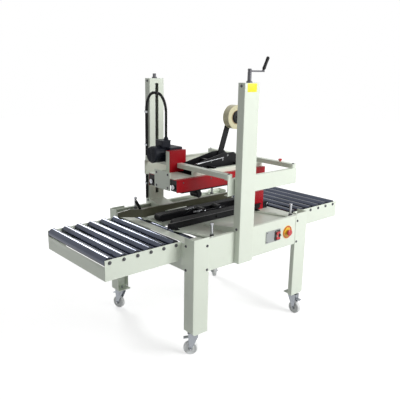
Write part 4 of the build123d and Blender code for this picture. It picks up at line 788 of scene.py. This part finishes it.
# casters: axle nuts, a ring on the swivel race and the wheels' hubs
casterFacts = dict(trail=0.026, reach=0.0222, z=0.0375)
for corner, turn in (("near_infeed", 140), ("far_infeed", 109), ("near_outfeed", -86), ("far_outfeed", 60)):
    signX = -1 if "infeed" in corner else 1
    signY = -1 if "near" in corner else 1
    stem = np.array((signX * 0.3945, signY * 0.351, 0))
    angle = math.radians(turn)
    ahead = np.array((math.cos(angle), math.sin(angle), 0))
    sideways = np.array((-math.sin(angle), math.cos(angle), 0))
    axle = stem + casterFacts["trail"] * ahead + np.array((0, 0, casterFacts["z"]))
    parts = []
    for sign in (-1, 1):
        parts += hexBolts([axle + sign * casterFacts["reach"] * sideways], sign * sideways, 0.0052, 0.0035)
    race = ((0.0205, 0), (0.0225, 0.0006), (0.0225, 0.0022), (0.0205, 0.0028), (0.0205, 0))
    parts.append(turned(race, [stem + (0, 0, 0.1265)], (0, 0, 1), 32))
    makePiece(corner + "CasterNuts", parts, "polishedSteel", corner + "_swivel")
    hub = ((0.0045, 0), (0.0125, 0), (0.0125, 0.0006), (0.0045, 0.0009), (0.0045, 0))
    tread = []
    for sign in (-1, 1):
        tread.append(turned(hub, [axle + sign * 0.0130 * sideways], sign * sideways, 28))
    makePiece(corner + "WheelHub", tread, "greyPlastic", corner + "_wheel_body")
print("casters done")

# camera fitted to the photograph: place, turn, tilt and roll in radians, focal length in picture widths
cameraFacts = dict(place=(-2.0351, -2.2270, 1.4818), turn=0.7229, tilt=-0.2512, roll=0.0174, focal=1.30864)
yaw, pitch, roll = cameraFacts["turn"], cameraFacts["tilt"], cameraFacts["roll"]
forward = Vector((math.sin(yaw) * math.cos(pitch), math.cos(yaw) * math.cos(pitch), math.sin(pitch)))
level = Vector((math.cos(yaw), -math.sin(yaw), 0))
upright = level.cross(forward)
right = level * math.cos(roll) + upright * math.sin(roll)
top = upright * math.cos(roll) - level * math.sin(roll)
cameraData = bpy.data.cameras.new("camera")
cameraData.sensor_width = 36
cameraData.lens = 36 * cameraFacts["focal"]
camera = bpy.data.objects.new("camera", cameraData)
bpy.context.collection.objects.link(camera)
camera.matrix_world = Matrix((
    (right.x, top.x, -forward.x, cameraFacts["place"][0]),
    (right.y, top.y, -forward.y, cameraFacts["place"][1]),
    (right.z, top.z, -forward.z, cameraFacts["place"][2]),
    (0, 0, 0, 1),
))
bpy.context.scene.camera = camera

# studio: lamp powers, the sky's strength, the floor's colour and its glow to rays that see it
studio = dict(key=150, keySize=2.4, fill=1, fillSize=3, back=42, backSize=0.9, sky=0.31,
              floor=(0.60, 0.60, 0.60), glowNear=0.62, glowFar=0.88, glowReach=(1.3, 3.8))


def addArea(name, place, target, power, size):
    data = bpy.data.lights.new(name, "AREA")
    data.energy = power
    data.size = size
    light = bpy.data.objects.new(name, data)
    bpy.context.collection.objects.link(light)
    light.location = place
    light.rotation_euler = (Vector(target) - Vector(place)).to_track_quat("-Z", "Y").to_euler()


addArea("key", (1.4, -3.6, 2.6), (0, 0, 0.7), studio["key"], studio["keySize"])
addArea("fill", (-3.4, -1.0, 2.6), (0, 0, 0.7), studio["fill"], studio["fillSize"])
addArea("back", (0.35, 2.9, 2.35), (-0.6, 0, 0.6), studio["back"], studio["backSize"])


def seenRays(tree):
    # 1 for camera, mirror and glass rays, else 0
    ray = addNode(tree, "ShaderNodeLightPath")
    first = addNode(tree, "ShaderNodeMath", operation="MAXIMUM")
    second = addNode(tree, "ShaderNodeMath", operation="MAXIMUM")
    tree.links.new(ray.outputs["Is Camera Ray"], first.inputs[0])
    tree.links.new(ray.outputs["Is Glossy Ray"], first.inputs[1])
    tree.links.new(first.outputs[0], second.inputs[0])
    tree.links.new(ray.outputs["Is Transmission Ray"], second.inputs[1])
    return second


world = bpy.data.worlds.new("studio")
bpy.context.scene.world = world
world.use_nodes = True
tree = world.node_tree
background = tree.nodes["Background"]
background.inputs["Color"].default_value = (1, 1, 1, 1)
background.inputs["Strength"].default_value = studio["sky"]
seen = addNode(tree, "ShaderNodeBackground", Color=(1, 1, 1, 1), Strength=1.0)
mixed = addNode(tree, "ShaderNodeMixShader")
tree.links.new(seenRays(tree).outputs[0], mixed.inputs["Fac"])
tree.links.new(background.outputs[0], mixed.inputs[1])
tree.links.new(seen.outputs[0], mixed.inputs[2])
tree.links.new(mixed.outputs[0], tree.nodes["World Output"].inputs["Surface"])

floorSize = 12.0
floorMesh = bpy.data.meshes.new("floor")
floorMesh.from_pydata(
    [(-floorSize, -floorSize, 0), (floorSize, -floorSize, 0), (floorSize, floorSize, 0), (-floorSize, floorSize, 0)],
    [],
    [(0, 1, 2, 3)],
)
floorMaterial = bpy.data.materials.new("floor")
floorMaterial.use_nodes = True
tree = floorMaterial.node_tree
matt = tree.nodes["Principled BSDF"]
matt.inputs["Base Color"].default_value = (*studio["floor"], 1)
matt.inputs["Roughness"].default_value = 0.9
# the glow is seen by camera, mirror and glass rays only and lights nothing; the shadow stays beneath it
glow = addNode(tree, "ShaderNodeEmission", Color=(1, 1, 1, 1))
where = addNode(tree, "ShaderNodeTexCoord")
far = addNode(tree, "ShaderNodeVectorMath", operation="LENGTH")
level = addNode(tree, "ShaderNodeMapRange", From_Min=studio["glowReach"][0], From_Max=studio["glowReach"][1],
                To_Min=studio["glowNear"], To_Max=studio["glowFar"])
part = addNode(tree, "ShaderNodeMath", operation="MULTIPLY")
tree.links.new(where.outputs["Object"], far.inputs[0])
tree.links.new(far.outputs["Value"], level.inputs["Value"])
tree.links.new(level.outputs["Result"], part.inputs[1])
summed = addNode(tree, "ShaderNodeAddShader")
tree.links.new(seenRays(tree).outputs[0], part.inputs[0])
tree.links.new(part.outputs[0], glow.inputs["Strength"])
tree.links.new(matt.outputs[0], summed.inputs[0])
tree.links.new(glow.outputs[0], summed.inputs[1])
tree.links.new(summed.outputs[0], tree.nodes["Material Output"].inputs["Surface"])
floorMesh.materials.append(floorMaterial)
floor = bpy.data.objects.new("floor", floorMesh)
bpy.context.collection.objects.link(floor)

bpy.context.scene.view_settings.view_transform = "Standard"
print("scene done")
